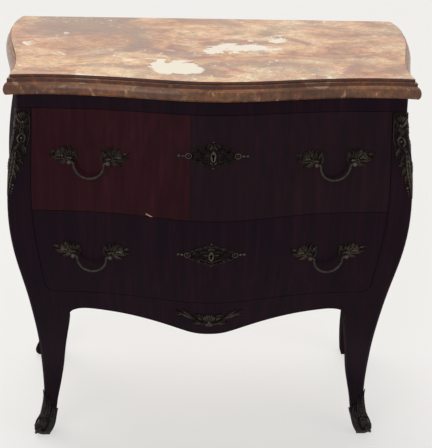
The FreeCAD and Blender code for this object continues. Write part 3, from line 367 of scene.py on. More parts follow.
def smooth(controls, steps):
    """A Catmull-Rom path through the given (u, v) points, with so many steps between two."""
    pts = [Vector(c) for c in controls]
    pts = [2 * pts[0] - pts[1]] + pts + [2 * pts[-1] - pts[-2]]
    path = []
    for a, b, c, d in zip(pts, pts[1:], pts[2:], pts[3:]):
        for k in range(steps):
            t = k / steps
            path.append(0.5 * (2 * b + (c - a) * t + (2 * a - 5 * b + 4 * c - d) * t * t
                               + (3 * b - 3 * c + d - a) * t ** 3))
    path.append(pts[-2])
    return path


def curl(start, end, bend, start_curl, end_curl):
    """A scroll that bends gently in the middle and winds up at each end (radians of curl).

    start and end lie a sixth of the way in from its ends, so that the curls go round them.
    """
    raw = []
    at = Vector((0, 0))
    heading = 0.0
    for k in range(CURL_STEPS + 1):
        raw.append(at.copy())
        s = 2 * k / CURL_STEPS - 1
        # over half the path 8 |s|^3 adds up to 1, so an end winds by its own curl
        heading += (bend + 8 * (start_curl if s < 0 else end_curl) * abs(s) ** 3) / CURL_STEPS
        at = at + Vector((math.cos(heading), math.sin(heading))) / CURL_STEPS
    first, last = raw[CURL_STEPS // 6], raw[CURL_STEPS - CURL_STEPS // 6]
    chord = last - first
    want = Vector(end) - Vector(start)
    size = want.length / chord.length
    turn = math.atan2(want.y, want.x) - math.atan2(chord.y, chord.x)
    c, s = size * math.cos(turn), size * math.sin(turn)
    out = []
    for p in raw:
        q = p - first
        out.append(Vector(start) + Vector((c * q.x - s * q.y, s * q.x + c * q.y)))
    return out


class Casting:
    """One casting as it is drawn: closed strokes, and beads as (u, v, radius)."""

    def __init__(self):
        self.points = []
        self.faces = []
        self.beads = []

    def loft(self, rings, closed=False):
        """Joins sections of equal length into a closed skin."""
        start, count = len(self.points), len(rings[0])
        for ring in rings:
            self.points += ring
        spans = len(rings) if closed else len(rings) - 1
        total = len(rings) * count
        for i in range(spans):
            for j in range(count):
                a = i * count + j
                b = i * count + (j + 1) % count
                corners = (a, b, b + count, a + count)
                self.faces.append(tuple(start + v % total for v in corners))
        if not closed:
            self.faces.append(tuple(start + j for j in reversed(range(count))))
            self.faces.append(tuple(start + total - count + j for j in range(count)))

    def sweep(self, path, width, height, section, closed=False):
        """width and height are functions of the share of the path, 0 to 1."""
        last = len(path) - 1
        rings = []
        for k, p in enumerate(path):
            if closed:
                ahead = path[(k + 1) % len(path)] - path[k - 1]
            else:
                ahead = path[min(k + 1, last)] - path[max(k - 1, 0)]
            side = Vector((-ahead.y, ahead.x)).normalized()
            w, h = width(k / last), height(k / last)
            rings.append([(p.x + side.x * w * a, p.y + side.y * w * a, -SUNK + (h + SUNK) * b)
                          for a, b in section])
        self.loft(rings, closed)

    def scroll(self, start, end, bend, start_curl, end_curl, width, height):
        """A hollow scroll that thins towards its ends, with a bead in the eye of a full curl."""
        path = curl(start, end, bend, start_curl, end_curl)
        self.sweep(path, lambda s: width * (1 - 0.62 * abs(2 * s - 1) ** 2.2),
                   lambda s: height * (0.82 + 0.18 * abs(2 * s - 1)), HOLLOW)
        for p, turned in ((path[0], start_curl), (path[-1], end_curl)):
            if abs(turned) > FULL_CURL:
                self.bead(p.x, p.y, width * EYE_BEAD)

    def stem(self, controls, width, height, tip):
        """A round stem that thins to tip times its width."""
        self.sweep(smooth(controls, STEM_STEPS), lambda s: width * (1 - (1 - tip) * s),
                   lambda s: height * (1 - 0.35 * s), ROUND)

    def leaf(self, controls, width, height, lobes=4, lift=0.0):
        """An acanthus leaf along the path: lobed edges, a sunk midrib and a lifted tip."""
        def across(s):
            swell = math.sin(math.pi * min(1.0, 0.12 + 0.88 * s) ** 0.85)
            notch = abs(math.sin(math.pi * (lobes + 0.5) * s)) ** 0.7
            return max(0.12, width * max(swell, 0) * (0.66 + 0.34 * notch))

        def rise(s):
            swell = math.sin(math.pi * min(1.0, 0.15 + 0.8 * s))
            notch = abs(math.sin(math.pi * (lobes + 0.5) * s))
            return height * (0.4 + 0.45 * swell + 0.15 * notch) + lift * s * s

        self.sweep(smooth(controls, LOBE_STEPS * lobes), across, rise, LEAF)

    def ring(self, centre, across, up, width, height):
        path = []
        for k in range(RING_STEPS):
            a = 2 * math.pi * k / RING_STEPS
            path.append(Vector((centre[0] + across * math.cos(a), centre[1] + up * math.sin(a))))
        self.sweep(path, lambda s: width, lambda s: height, ROUND, closed=True)

    def shell(self, centre, radius, first, last, ribs, height):
        """A ribbed shell spread between two angles (degrees)."""
        rings = []
        steps = RIB_STEPS * ribs
        for k in range(steps + 1):
            share = k / steps
            angle = math.radians(first + (last - first) * share)
            rib = abs(math.sin(math.pi * ribs * share))
            r = radius * (0.86 + 0.14 * rib ** 0.7) * (0.9 + 0.1 * math.sin(math.pi * share))
            h = height * (0.5 + 0.5 * rib)
            rings.append([(centre[0] + r * a * math.cos(angle), centre[1] + r * a * math.sin(angle),
                           -SUNK + (h + SUNK) * b) for a, b in RIB])
        self.loft(rings)

    def bead(self, u, v, radius):
        self.beads.append((u, v, radius))

    def mirror(self):
        """Adds the other half of a casting drawn for u > 0."""
        count = len(self.points)
        self.points += [(-u, v, w) for u, v, w in self.points]
        self.faces += [tuple(count + i for i in reversed(face)) for face in self.faces]
        self.beads += [(-u, v, r) for u, v, r in self.beads if u > NEAR_MIDDLE]


# ---------------------------------------------------------------- what the castings lie on
def surface(name):
    """The outside of a node, for rays."""
    mesh = nodes[name].data
    return BVHTree.FromPolygons([v.co.copy() for v in mesh.vertices],
                                [list(poly.vertices) for poly in mesh.polygons])


class Front:
    """Lays u, v, w on a front around an anchor. right is the way u grows."""

    SPAN = 0.012        # m, half the width over which the lie of the front is taken
    START, RAY = 0.1, 0.13      # m, a ray's start off the wood, and its length
    OPENING = 15        # mm, a keyhole's reach: over it a casting spans the gap

    def __init__(self, wood, anchor, right):
        self.wood = wood

        def probe(x, z):
            origin = Vector(anchor) + Vector((x, -self.START, z))
            hit = wood.ray_cast(origin, Vector((0, 1, 0)))[0]
            if hit is None:
                raise RuntimeError(OFF_THE_WOOD)
            return hit

        left_hit, right_hit = probe(-self.SPAN, 0), probe(self.SPAN, 0)
        low_hit, high_hit = probe(0, -self.SPAN), probe(0, self.SPAN)
        across = (right_hit - left_hit).normalized()
        self.out = across.cross(high_hit - low_hit).normalized()
        self.up = self.out.cross(across).normalized()
        self.across = across if right > 0 else -across
        self.anchor = (left_hit + right_hit) / 2

    def place(self, u, v, w):
        """Where a point of the casting comes to lie, in m."""
        flat = self.anchor + (self.across * u + self.up * v) / 1000
        hit = self.wood.ray_cast(flat + self.out * self.START, -self.out, self.RAY)[0]
        if hit is None and math.hypot(u, v) > self.OPENING:
            raise RuntimeError(OFF_THE_WOOD)
        return (hit or flat) + self.out * (w / 1000)


class Corner:
    """Lays u, v, w round the left front arris: u < 0 on the front, u > 0 on the side.

    v is the height. room is the width in mm that the casting takes of a face; where the face is
    narrower, u is drawn in. Over round_off mm from the arris, w turns from the diagonal to a face.
    """

    STEP = 4.0              # mm between the heights at which the arris is found
    FAR = 0.2               # m, the rays that look for the arris start this far out,
    SCAN, GAP = 30, 0.0012  # so many to each side of the diagonal, so many m apart
    START, RAY = 0.06, 0.12     # m, every other ray's start off the wood, and its length
    NARROWEST, WIDEST = 8, 50   # mm, a face's width is looked for between these
    TRIES, DRAWN_IN = 20, 0.93  # so often, a point past the edge is drawn in to this share
    EVEN = 2                # steps to each side over which the found arris is evened out

    def __init__(self, wood, low, high, centre, room, round_off=9.0):
        self.wood = wood
        self.low = low
        self.high = high
        self.round_off = round_off
        self.diagonal = Vector((-1, -1, 0)).normalized()
        across = Vector((1, -1, 0)).normalized()
        line = []
        for k in range(int((high - low) / self.STEP) + 2):
            middle = Vector((centre[0], centre[1], (low + self.STEP * k) / 1000))
            hits = []
            for j in range(-self.SCAN, self.SCAN + 1):
                origin = middle + self.diagonal * self.FAR + across * (j * self.GAP)
                hits.append(wood.ray_cast(origin, -self.diagonal)[0])
            hits = [hit for hit in hits if hit is not None]
            line.append(max(hits, key=self.diagonal.dot) if hits else line[-1])
        self.line = []
        for k in range(len(line)):
            around = line[max(0, k - self.EVEN):k + self.EVEN + 1]
            self.line.append(sum(around, Vector()) / len(around))
        x, y = Vector((1, 0, 0)), Vector((0, 1, 0))
        self.front = [min(1.0, (self.face_width(p, x, y) - 1) / room) for p in self.line]
        self.side = [min(1.0, (self.face_width(p, y, x) - 1) / room) for p in self.line]

    def face_width(self, p, along, inward):
        """Millimetres of wood along a face from p on the arris."""
        for width in range(self.NARROWEST, self.WIDEST):
            origin = p + along * (width / 1000) - inward * self.START
            if self.wood.ray_cast(origin, inward, self.RAY)[0] is None:
                return width - 1
        return self.WIDEST

    def level(self, v):
        """The step of the line below a height, and the share of the way to the next."""
        # it stops just short of the last step, so that there is always a next one
        steps = max(0.0, min(len(self.line) - 1.001, (v - self.low) / self.STEP))
        return int(steps), steps - int(steps)

    def place(self, u, v, w):
        """Points past the edge of the face are drawn in until they lie on it."""
        v = max(self.low, min(self.high, v))
        k, share = self.level(v)
        start = self.line[k].lerp(self.line[k + 1], share)
        start.z = v / 1000
        shares = self.front if u < 0 else self.side
        u *= shares[k] + (shares[k + 1] - shares[k]) * share
        along = Vector((1, 0, 0)) if u < 0 else Vector((0, 1, 0))
        d = self.diagonal
        for attempt in range(self.TRIES):
            turn = math.radians(45) * max(-1.0, min(1.0, u / self.round_off))
            c, s = math.cos(-turn), math.sin(-turn)
            out = Vector((c * d.x - s * d.y, s * d.x + c * d.y, 0))
            origin = start + along * (abs(u) / 1000) + out * self.START
            hit = self.wood.ray_cast(origin, -out, self.RAY)[0]
            if hit is not None:
                return hit + out * (w / 1000)
            u *= self.DRAWN_IN
        raise RuntimeError(OFF_THE_WOOD)


# ---------------------------------------------------------------- pieces
SHARP = math.radians(38)    # an edge that is bent further stays crisp
BEAD_LIFT = 0.35            # a bead's middle is this share of its radius off the wood


def solid_piece(name, points, faces, mat):
    """A piece from closed skins, smooth between its crisp edges."""
    mesh = bpy.data.meshes.new(name)
    mesh.from_pydata([tuple(p) for p in points], [], faces)
    obj = bpy.data.objects.new(name, mesh)
    bpy.context.scene.collection.objects.link(obj)
    shape = bmesh.new()
    shape.from_mesh(mesh)
    bmesh.ops.recalc_face_normals(shape, faces=shape.faces)
    shape.to_mesh(mesh)
    shape.free()
    mesh.shade_smooth()
    mesh.set_sharp_from_angle(angle=SHARP)
    paint(obj, mat)
    return obj


def bead_tree():
    """Puts a low dome on every point, of the radius that the point carries."""
    tree = bpy.data.node_groups.new("beads", "GeometryNodeTree")
    for name, way, kind in (("Points", "INPUT", "Geometry"), ("Size", "INPUT", "Float"),
                            ("Finish", "INPUT", "Material"), ("Beads", "OUTPUT", "Geometry")):
        tree.interface.new_socket(name, in_out=way, socket_type="NodeSocket" + kind)
    given = add(tree, "NodeGroupInput")
    result = tree.nodes.new("NodeGroupOutput")
    dome = add(tree, "GeometryNodeMeshUVSphere", {"Segments": 12, "Rings": 8, "Radius": 1.0})
    radius = add(tree, "GeometryNodeInputNamedAttribute", {"Name": "radius"}, data_type="FLOAT")
    size = add(tree, "ShaderNodeMath", {0: radius["Attribute"], 1: given["Size"]},
               operation="MULTIPLY")
    spread = add(tree, "GeometryNodeInstanceOnPoints", {
        "Points": given["Points"], "Instance": dome["Mesh"], "Scale": size[0]})
    real = add(tree, "GeometryNodeRealizeInstances", {"Geometry": spread["Instances"]})
    done = add(tree, "GeometryNodeSetMaterial", {"Geometry": real["Geometry"],
                                                 "Material": given["Finish"]})
    plug(result, {"Beads": done["Geometry"]})
    return tree


BEADS = bead_tree()
BEAD_PLACES = {"case": [], "upper_drawer": [], "lower_drawer": []}


def bead_piece(name, places, body):
    """places: (point, radius in m). The instances become one plain mesh."""
    mesh = bpy.data.meshes.new(name + "_points")
    mesh.from_pydata([tuple(p) for p, r in places], [], [])
    store = mesh.attributes.new("radius", "FLOAT", "POINT")
    for k, (p, r) in enumerate(places):
        store.data[k].value = r
    seed = bpy.data.objects.new(name + "_points", mesh)
    bpy.context.scene.collection.objects.link(seed)
    modifier = seed.modifiers.new("beads", "NODES")
    modifier.node_group = BEADS
    sockets = {item.name: item.identifier for item in BEADS.interface.items_tree
               if item.in_out == "INPUT"}
    modifier[sockets["Size"]] = 1.0
    modifier[sockets["Finish"]] = FINISHES["bronze"]
    graph = bpy.context.evaluated_depsgraph_get()
    result = bpy.data.meshes.new_from_object(seed.evaluated_get(graph))
    bpy.data.objects.remove(seed)
    obj = bpy.data.objects.new(name, result)
    bpy.context.scene.collection.objects.link(obj)
    result.shade_smooth()
    paint(obj, FINISHES["bronze"])
    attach(obj, body)


def lay(name, casting, ground, body, node, flip=False, solid=((), ()), mat=FINISHES["bronze"]):
    """Bends a casting onto its ground and makes it a piece.

    node is the plain casting that it stands for, solid the points and faces of a plain part of
    it. flip puts it on the other side of the chest.
    """
    points = [ground.place(*p) for p in casting.points]
    points = [Vector((p.x, p.y, max(p.z, 0.0))) for p in points]
    faces = casting.faces + [tuple(len(points) + i for i in face) for face in solid[1]]
    points += solid[0]
    beads = [(ground.place(u, v, r * BEAD_LIFT), r / 1000) for u, v, r in casting.beads]
    if flip:
        points = [Vector((-p.x, p.y, p.z)) for p in points]
        faces = [tuple(reversed(face)) for face in faces]
        beads = [(Vector((-p.x, p.y, p.z)), r) for p, r in beads]
    obj = solid_piece(name, points, faces, mat)
    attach(obj, body)
    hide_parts(node)
    BEAD_PLACES[body] += beads


SIDES = (("left", False), ("right", True))  # castings are drawn for the left and flipped


# ---------------------------------------------------------------- handle plates
HALF_BAIL = 0.0365  # m, from the middle of a handle to the eye at a bail's end
TURNED_STEPS = 16


def turned(start, axis, profile):
    """A closed turned solid: profile is (distance along the axis, radius) in mm."""
    axis = axis.normalized()
    side = axis.orthogonal().normalized()
    other = axis.cross(side)
    steps = TURNED_STEPS
    points, faces = [], []
    for along, radius in profile:
        for k in range(steps):
            a = 2 * math.pi * k / steps
            spoke = side * math.cos(a) + other * math.sin(a)
            points.append(start + (axis * along + spoke * radius) / 1000)
    for i in range(len(profile) - 1):
        for k in range(steps):
            a, b = i * steps + k, i * steps + (k + 1) % steps
            faces.append((a, b, b + steps, a + steps))
    faces.append(tuple(reversed(range(steps))))
    faces.append(tuple(range((len(profile) - 1) * steps, len(profile) * steps)))
    return points, faces


def knuckle(pivot, foot):
    """The eye that holds the bail, its neck and its shank through the front."""
    out = (pivot - foot).normalized()
    reach = (pivot - foot).length * 1000
    eye = 4.6
    shank = [(-30, 2.0), (-0.5, 2.0)]
    collar = [(-0.5, 5.5), (1.5, 5.0), (3.0, 3.2), (reach - 4.8, 2.9)]
    ball = [(reach + eye * math.sin(math.radians(a)), max(0.2, eye * math.cos(math.radians(a))))
            for a in range(-50, 91, 14)]
    return turned(foot, out, shank + collar + ball)


def handle_plate():
    """Rocaille leaf plate of a bail end: u grows away from the bail, the pivot is at 0, 0."""
    c = Casting()
    c.shell((4, 3), 25, 14, 72, 7, 3.6)
    c.scroll((-8, -2), (-7, 17), -1.9, -3.4, -5.0, 2.1, 3.8)
    c.leaf([(-5, 7), (-10, 15), (-14, 22)], 3.8, 3.8, 4, 1.2)
    c.leaf([(-2, 8), (0, 17), (-3, 26)], 3.6, 4.4, 4, 1.4)
    c.leaf([(2, 7), (7, 16), (7, 27)], 4.2, 4.8, 5, 1.6)
    c.leaf([(5, 5), (13, 14), (19, 24)], 4.2, 5.0, 5, 1.2)
    c.leaf([(2, 1), (15, 5), (27, 4), (39, 8)], 6.4, 4.8, 8, 0.5)
    c.leaf([(4, -1), (14, -6), (26, -8)], 4.2, 3.6, 5, 0.8)
    c.scroll((10, 8), (30, 11), 1.4, 3.8, 3.8, 1.6, 5.2)
    c.leaf([(25, 7), (32, 14), (41, 17)], 3.6, 3.6, 5, 0.8)
    c.scroll((-1, -3), (-9, -3), 1.2, 2.0, 4.4, 1.5, 2.8)
    return c


def handle_plates():
    """A plate at each end of every bail, with the eye that holds it."""
    hinges = {joint["name"]: joint for joint in frame["joints"]}
    for level in ("upper", "lower"):
        wood = surface(level + "_drawer_front")
        hinge = hinges[level + "_left_pull_hinge"]
        middle, axis = Vector(hinge["pos_m"]), Vector(hinge["axis"])
        for word, way in (("outer", 1), ("inner", -1)):
            pivot = middle + axis * (way * HALF_BAIL)
            ground = Front(wood, pivot, -way)
            eye = knuckle(pivot, ground.anchor)
            for side, flip in SIDES:
                stem = level + "_" + side + "_handle_" + word
                lay(stem + "_rocaille", handle_plate(), ground, level + "_drawer",
                    stem + "_plate", flip, eye)


# ---------------------------------------------------------------- escutcheons
KEYHOLE_DOWN = 0.027    # m, from the top of an escutcheon to its keyhole
KEYHOLE_STEPS = 36


def escutcheon():
    """Pierced lozenge round a keyhole: cartouche, paired scrolls, rings, beads at the tips."""
    c = Casting()
    for start, end, bend, winding in (
            ((2, 21), (16, 15), -1.2, -4.0), ((14, 15.5), (31, 9.5), -1.2, -4.2),
            ((28, 9), (43, 4.5), -1.1, -4.0), ((2, -18), (15, -14), 1.2, 4.0),
            ((13, -14), (30, -9), 1.2, 4.2), ((28, -8.5), (43, -4.5), 1.1, 4.0)):
        c.scroll(start, end, bend, winding, winding, 1.35, 3.2)
    c.scroll((7, 9), (21, 3), -1.6, -3.6, -4.6, 1.5, 3.6)
    c.scroll((7, -9), (21, -3), 1.6, 3.6, 4.6, 1.5, 3.6)
    c.scroll((22, 4.2), (39, 1.6), -1.2, -3.8, -3.8, 1.1, 2.8)
    c.scroll((22, -4.2), (39, -1.6), 1.2, 3.8, 3.8, 1.1, 2.8)
    c.ring((46, 0), 5.4, 4.6, 1.3, 2.8)
    c.bead(46, 0, 1.5)
    c.stem([(51, 0), (55, 0)], 1.2, 2.2, 0.9)
    c.bead(56.5, 0, 2.5)
    c.stem([(58, 0), (61, 0)], 1.1, 2.0, 0.9)
    c.bead(63.8, 0, 2.9)
    for path in (((8, 15), (12, 19), (16, 21)), ((20, 11.5), (26, 14.5), (32, 15)),
                 ((8, -15), (12, -18), (15, -20)), ((20, -10.5), (26, -13.5), (31, -13.5))):
        c.leaf(path, 2.2, 3.0, 3, 0.5)
    c.leaf([(6, 0), (12, 1.2), (20, 0)], 2.4, 2.8, 4)
    c.stem([(6, 13), (3, 17), (2, 22)], 1.2, 3.0, 0.8)
    c.stem([(6, -12), (3.5, -15), (2, -19)], 1.2, 3.0, 0.8)
    c.mirror()
    c.leaf([(0, 11), (0, 18), (0, 26)], 3.2, 4.2, 4, 1.0)
    c.bead(0, 26, 2.0)
    c.leaf([(0, -11), (0, -16), (0, -22.5)], 3.0, 3.8, 4, 0.6)
    c.bead(0, -22.8, 1.8)
    key_plate(c)
    return c


def key_plate(c):
    """The oval boss round the keyhole, open where the key goes in."""
    hole, slot_half, slot_drop, flare = 2.9, 1.5, 7.5, 1.6  # round hole, slot under it
    half_width, half_height, drop, rise = 6.0, 10.4, 1.2, 3.0
    section = ((0, 0), (0, 0.55), (0.25, 0.75), (0.6, 0.8), (0.8, 1), (1, 0.7), (1, 0))
    rings = []
    for k in range(KEYHOLE_STEPS):
        a = 2 * math.pi * k / KEYHOLE_STEPS + math.pi / 2
        ca, sa = math.cos(a), math.sin(a)
        r = hole
        if sa < 0 and abs(ca) * hole < slot_half * flare:
            r = max(hole, min(slot_drop / max(-sa, 0.2), slot_half / max(abs(ca), 1e-6)))
        iu, iv = r * ca, r * sa
        ou, ov = half_width * ca, -drop + half_height * sa
        rings.append([(iu + (ou - iu) * share, iv + (ov - iv) * share, -SUNK + (rise + SUNK) * up)
                      for share, up in section])
    c.loft(rings, closed=True)


def escutcheons():
    for level in ("upper", "lower"):
        low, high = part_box(level + "_escutcheon")
        ground = Front(surface(level + "_drawer_front"), (0, low[1], high[2] - KEYHOLE_DOWN), 1)
        lay(level + "_escutcheon_rocaille", escutcheon(), ground, level + "_drawer",
            level + "_escutcheon")


# ---------------------------------------------------------------- apron mount
SHELL_UP = 0.020    # m, from the foot of the apron mount to the eye of its shell


def apron_ornament():
    """Shell in the middle of the apron with a leafy scroll wing on each side."""
    c = Casting()
    c.scroll((7, -9), (31, 2), 1.6, 3.6, -4.2, 1.8, 4.4)
    c.scroll((27, -2), (54, 9), -1.3, -3.4, -4.0, 1.5, 3.8)
    c.scroll((10, 3), (27, 11), -1.4, -3.8, -4.4, 1.4, 4.2)
    c.scroll((28, 6), (44, 15), 1.2, 3.8, 3.8, 1.2, 3.6)
    c.leaf([(11, -1), (20, 4), (27, 10)], 3.4, 4.0, 5, 0.8)
    c.leaf([(30, 3), (46, 8), (68, 19)], 3.6, 4.0, 7, 1.0)
    c.leaf([(38, 9), (48, 16), (54, 23)], 2.6, 3.6, 5, 1.0)
    c.leaf([(50, 9), (58, 10), (66, 8)], 2.2, 3.2, 4, 0.6)
    c.leaf([(14, -8), (25, -11), (37, -7)], 2.8, 3.6, 5, 0.6)
    c.mirror()
    c.shell((0, -7), 21.0, 42, 138, 7, 5.4)
    c.shell((0, -6), 11.5, 205, 335, 5, 4.4)
    c.bead(0, -6.5, 3.6)
    return c


def apron_mount():
    low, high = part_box("apron_mount")
    ground = Front(surface("front_apron"), (0, low[1], low[2] + SHELL_UP), 1)
    lay("apron_mount_rocaille", apron_ornament(), ground, "case", "apron_mount")


# ---------------------------------------------------------------- corner mounts
CORNER_ROOM = 29.0  # mm, the width of face that a corner mount is drawn for
POST_MIDDLE = 0.03  # m, from the outside of a corner mount to the middle of its post


def chute(t, length):
    """Corner mount down from height t: cartouche, ringed scroll, leaves and a drawn-out tail."""
    c = Casting()
    c.scroll((-26, t - 4), (-5, t - 31), 1.3, 3.6, 4.0, 2.5, 5.0)
    c.scroll((-3, t - 4), (-24, t - 32), -1.3, -3.6, -4.0, 2.3, 4.8)
    c.shell((-14, t - 24), 20, 56, 124, 6, 5.0)
    c.leaf([(-20, t - 24), (-26, t - 34), (-26, t - 47)], 3.6, 4.2, 4, 1.2)
    c.leaf([(-14, t - 26), (-13, t - 36), (-9, t - 50)], 5.0, 4.8, 5, 1.0)
    c.scroll((-5, t - 34), (-17, t - 66), 1.1, 3.4, 5.0, 2.5, 5.0)
    c.ring((-14, t - 55), 6.6, 9.0, 1.5, 4.2)
    c.scroll((-22, t - 58), (-8, t - 94), -1.4, -4.2, -3.4, 2.3, 4.8)
    c.leaf([(-17, t - 68), (-24, t - 78), (-27, t - 90)], 4.0, 4.4, 5, 1.4)
    c.scroll((-6, t - 78), (-17, t - 104), 1.3, 3.6, 4.6, 1.8, 4.4)
    c.leaf([(-12, t - 90), (-18, t - 100), (-25, t - 104)], 3.8, 4.2, 4, 1.4)
    c.leaf([(-9, t - 104), (-15, t - 115), (-20, t - 124)], 3.8, 4.0, 4, 1.2)
    c.leaf([(-7, t - 118), (-11, t - 130), (-14, t - 142)], 3.4, 3.8, 4, 1.0)
    c.leaf([(-6, t - 72), (-6, t - 110), (-4, t - 142), (-2, t - length + 17)], 4.2, 4.6, 13)
    c.leaf([(0, t - 18), (7, t - 29), (9, t - 45)], 3.8, 3.6, 4, 1.0)
    c.leaf([(0, t - 50), (7, t - 63), (9, t - 80)], 3.8, 3.6, 4, 1.0)
    c.leaf([(0, t - 90), (6, t - 105), (7, t - 120)], 3.4, 3.2, 4, 0.8)
    c.stem([(0, t - 1), (1.5, t - 60), (1.0, t - 110), (0, t - length + 16)], 1.6, 3.4, 0.5)
    c.stem([(5, t - 2), (7, t - 50), (5, t - 100), (2, t - 140)], 1.0, 2.6, 0.5)
    c.stem([(-27.5, t - 6), (-28, t - 42), (-26, t - 74)], 1.0, 2.6, 0.5)
    c.bead(-14, t - 25, 3.2)
    c.bead(-14, t - 55, 3.0)
    for u, drop, radius in ((-9, 147, 2.6), (-8, 154, 1.9), (-7, 159.5, 1.5), (-6, 164, 1.2)):
        c.bead(u, t - drop, radius)
    return c


def corner_mounts():
    low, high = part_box("left_corner_mount")
    bottom, top = low[2] * 1000, high[2] * 1000
    ground = Corner(surface("front_left_leg_post"), bottom - Corner.STEP, top,
                    (low[0] + POST_MIDDLE, low[1] + POST_MIDDLE), CORNER_ROOM)
    for side, flip in SIDES:
        lay(side + "_corner_rocaille", chute(top, top - bottom), ground, "case",
            side + "_corner_mount", flip)


# ---------------------------------------------------------------- shoes
RIM_FRONT, RIM_BACK = 58, 46    # mm, height of the plain part of a shoe at its toe and heel
LEAVES_LOW, LEAVES_HIGH = 2, 131    # mm, between these heights the leaves lie on the shoe
SHOE_ROOM, SHOE_ROUND_OFF = 30.0, 12.0  # mm, as a Corner takes them
THINS_FROM, THINS_OVER, THINS_BY = 56, 26, 2.6  # mm, above the rim the leaves lie closer


def shoe_shell():
    """The plain lower part of the left shoe, cut off along a sloping rim."""
    low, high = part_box("left_sabot")
    slope = (RIM_FRONT - RIM_BACK) / (high[1] - low[1]) / 1000
    shape = bmesh.new()
    shape.from_mesh(nodes["left_sabot"].data)
    bmesh.ops.remove_doubles(shape, verts=shape.verts, dist=1e-6)
    cut = bmesh.ops.bisect_plane(
        shape, geom=shape.verts[:] + shape.edges[:] + shape.faces[:], dist=1e-7,
        plane_co=(0, low[1], RIM_FRONT / 1000), plane_no=(0, slope, 1), clear_outer=True)
    rim = [e for e in cut["geom_cut"] if isinstance(e, bmesh.types.BMEdge)]
    bmesh.ops.bridge_loops(shape, edges=rim)
    shape.verts.ensure_lookup_table()
    points = [v.co.copy() for v in shape.verts]
    faces = [tuple(v.index for v in f.verts) for f in shape.faces]
    shape.free()
    return points, faces


def shoe_leaves():
    """Leaf collar, side volutes and toe shell of a cast shoe; v is the height above the floor."""
    c = Casting()
    c.leaf([(0, 40), (0, 80), (0, 122)], 8.6, 3.0, 9)
    c.leaf([(-9, 40), (-13, 70), (-11, 106)], 6.4, 3.0, 7, 0.4)
    c.leaf([(9, 40), (13, 68), (11, 100)], 6.4, 3.0, 7, 0.4)
    c.leaf([(-20, 40), (-24, 60), (-23, 84)], 6.0, 2.8, 6, 0.5)
    c.leaf([(20, 40), (24, 58), (24, 76)], 6.0, 2.8, 6, 0.5)
    c.scroll((-6, 50), (-17, 17), 1.5, 3.8, 4.8, 2.4, 3.8)
    c.scroll((6, 50), (17, 17), -1.5, -3.8, -4.8, 2.4, 3.8)
    c.shell((0, 9), 24, 58, 122, 6, 3.0)
    c.bead(0, 9, 3.6)
    c.points = [(u, v, w - THINS_BY * min(1.0, max(0.0, (v - THINS_FROM) / THINS_OVER)))
                for u, v, w in c.points]
    return c


def sabots():
    """The shoes get a darker copy of the bronze: painted shade near the floor."""
    # painted shade: the shoes' bronze is a darker copy, standing in for the shade near the floor
    bare = bronze("cast bronze painted dark as shade", ("#191716", "#272422", "#3c3733"))
    low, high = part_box("left_sabot")
    centre = ((low[0] + high[0]) / 2, (low[1] + high[1]) / 2)
    ground = Corner(surface("left_sabot"), LEAVES_LOW, LEAVES_HIGH, centre, SHOE_ROOM,
                    SHOE_ROUND_OFF)
    shell = shoe_shell()
    for side, flip in SIDES:
        lay(side + "_sabot_leaves", shoe_leaves(), ground, "case", side + "_sabot", flip,
            shell, bare)


handle_plates()
escutcheons()
apron_mount()
corner_mounts()
sabots()
for body, places in BEAD_PLACES.items():
    bead_piece(body + "_bronze_beads", places, body)


# ---------------------------------------------------------------- floor, light, camera
FLOOR_REACH = 30.0      # m, half the side of the floor


def lamp(name, kind, place, target, strength, size=None, **values):
    """size is the width and height of a rectangular lamp in m."""
    data = bpy.data.lights.new(name, kind)
    data.energy = strength
    if size:
        data.shape = "RECTANGLE"
        data.size, data.size_y = size
    for key, value in values.items():
        setattr(data, key, value)
    obj = bpy.data.objects.new(name, data)
    obj.location = place
    obj.rotation_euler = (Vector(target) - Vector(place)).to_track_quat("-Z", "Y").to_euler()
    bpy.context.scene.collection.objects.link(obj)


def seen(tree, share):
    """share for camera, mirror and glass rays, which look at the background; else 0."""
    path = add(tree, "ShaderNodeLightPath")
    mirror = add(tree, "ShaderNodeMath", {0: path["Is Camera Ray"], 1: path["Is Glossy Ray"]},
                 operation="ADD")[0]
    every = add(tree, "ShaderNodeMath", {0: mirror, 1: path["Is Transmission Ray"]},
                operation="ADD", use_clamp=True)[0]
    return add(tree, "ShaderNodeMath", {0: every, 1: share}, operation="MULTIPLY")[0]


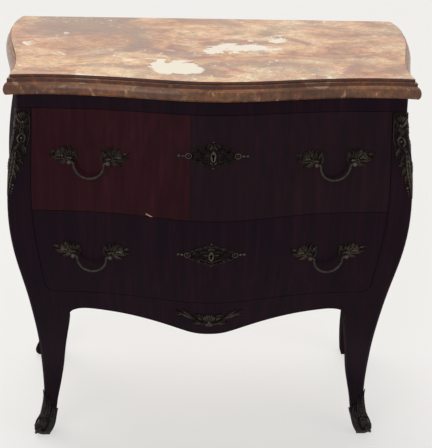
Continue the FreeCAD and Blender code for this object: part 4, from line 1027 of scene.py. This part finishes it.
def build_stage():
    """A pale floor that keeps the shadow, under a pale sky."""
    reach = FLOOR_REACH
    mesh = bpy.data.meshes.new("floor")
    mesh.from_pydata([(-reach, -reach, 0), (reach, -reach, 0), (reach, reach, 0),
                      (-reach, reach, 0)], [], [(0, 1, 2, 3)])
    floor = bpy.data.objects.new("floor", mesh)
    bpy.context.scene.collection.objects.link(floor)
    mat, tree, shader = new_material("pale floor")
    plug(shader, {"Base Color": "#eceae8", "Roughness": 0.85})
    glow = add(tree, "ShaderNodeEmission", {"Color": "#fbfaf8", "Strength": 1.0})[0]
    blend = add(tree, "ShaderNodeMixShader", {0: seen(tree, 0.55), 1: shader.outputs[0], 2: glow})
    plug(tree.nodes["Material Output"], {"Surface": blend[0]})
    paint(floor, mat)

    world = bpy.data.worlds.new("studio")
    world.use_nodes = True
    sky = world.node_tree
    light = sky.nodes["Background"]
    plug(light, {"Color": "#efedeb", "Strength": 0.5})
    pale = add(sky, "ShaderNodeBackground", {"Color": "#f7f5f3", "Strength": 0.97})[0]
    blend = add(sky, "ShaderNodeMixShader", {0: seen(sky, 1.0), 1: light.outputs[0], 2: pale})
    plug(sky.nodes["World Output"], {"Surface": blend[0]})
    bpy.context.scene.world = world

    lamp("overhead", "SUN", (-0.5, 1.4, 3.2), (0, 0, 0.4), 1.5, angle=math.radians(50),
         color=(1, 0.99, 0.97))
    lamp("soft front", "AREA", (-1.7, -2.8, 2.3), (0, 0, 0.45), 34, size=(2.4, 2.4))
    lamp("right fill", "AREA", (2.8, -1.4, 1.6), (0, 0, 0.4), 12, size=(1.6, 1.8))


def build_camera():
    """Standing height, a little left of the middle, looking down at the front."""
    place = (-0.076, -1.8687, 1.446)
    pitch, yaw, roll = math.radians(27.42), math.radians(2.91), math.radians(1.68)
    ahead = Vector((math.sin(yaw) * math.cos(pitch), math.cos(yaw) * math.cos(pitch),
                    -math.sin(pitch)))
    level = Vector((math.cos(yaw), -math.sin(yaw), 0))
    above = level.cross(ahead)
    right = math.cos(roll) * level + math.sin(roll) * above
    up = -math.sin(roll) * level + math.cos(roll) * above
    data = bpy.data.cameras.new("camera")
    data.sensor_fit = "AUTO"
    data.sensor_width = 36.0
    data.lens = 78.59
    data.clip_end = 100
    camera = bpy.data.objects.new("camera", data)
    turn = Matrix((right, up, -ahead)).transposed().to_4x4()
    camera.matrix_world = Matrix.Translation(place) @ turn
    bpy.context.scene.collection.objects.link(camera)
    bpy.context.scene.camera = camera


build_stage()
build_camera()
bpy.context.scene.view_settings.view_transform = "Standard"
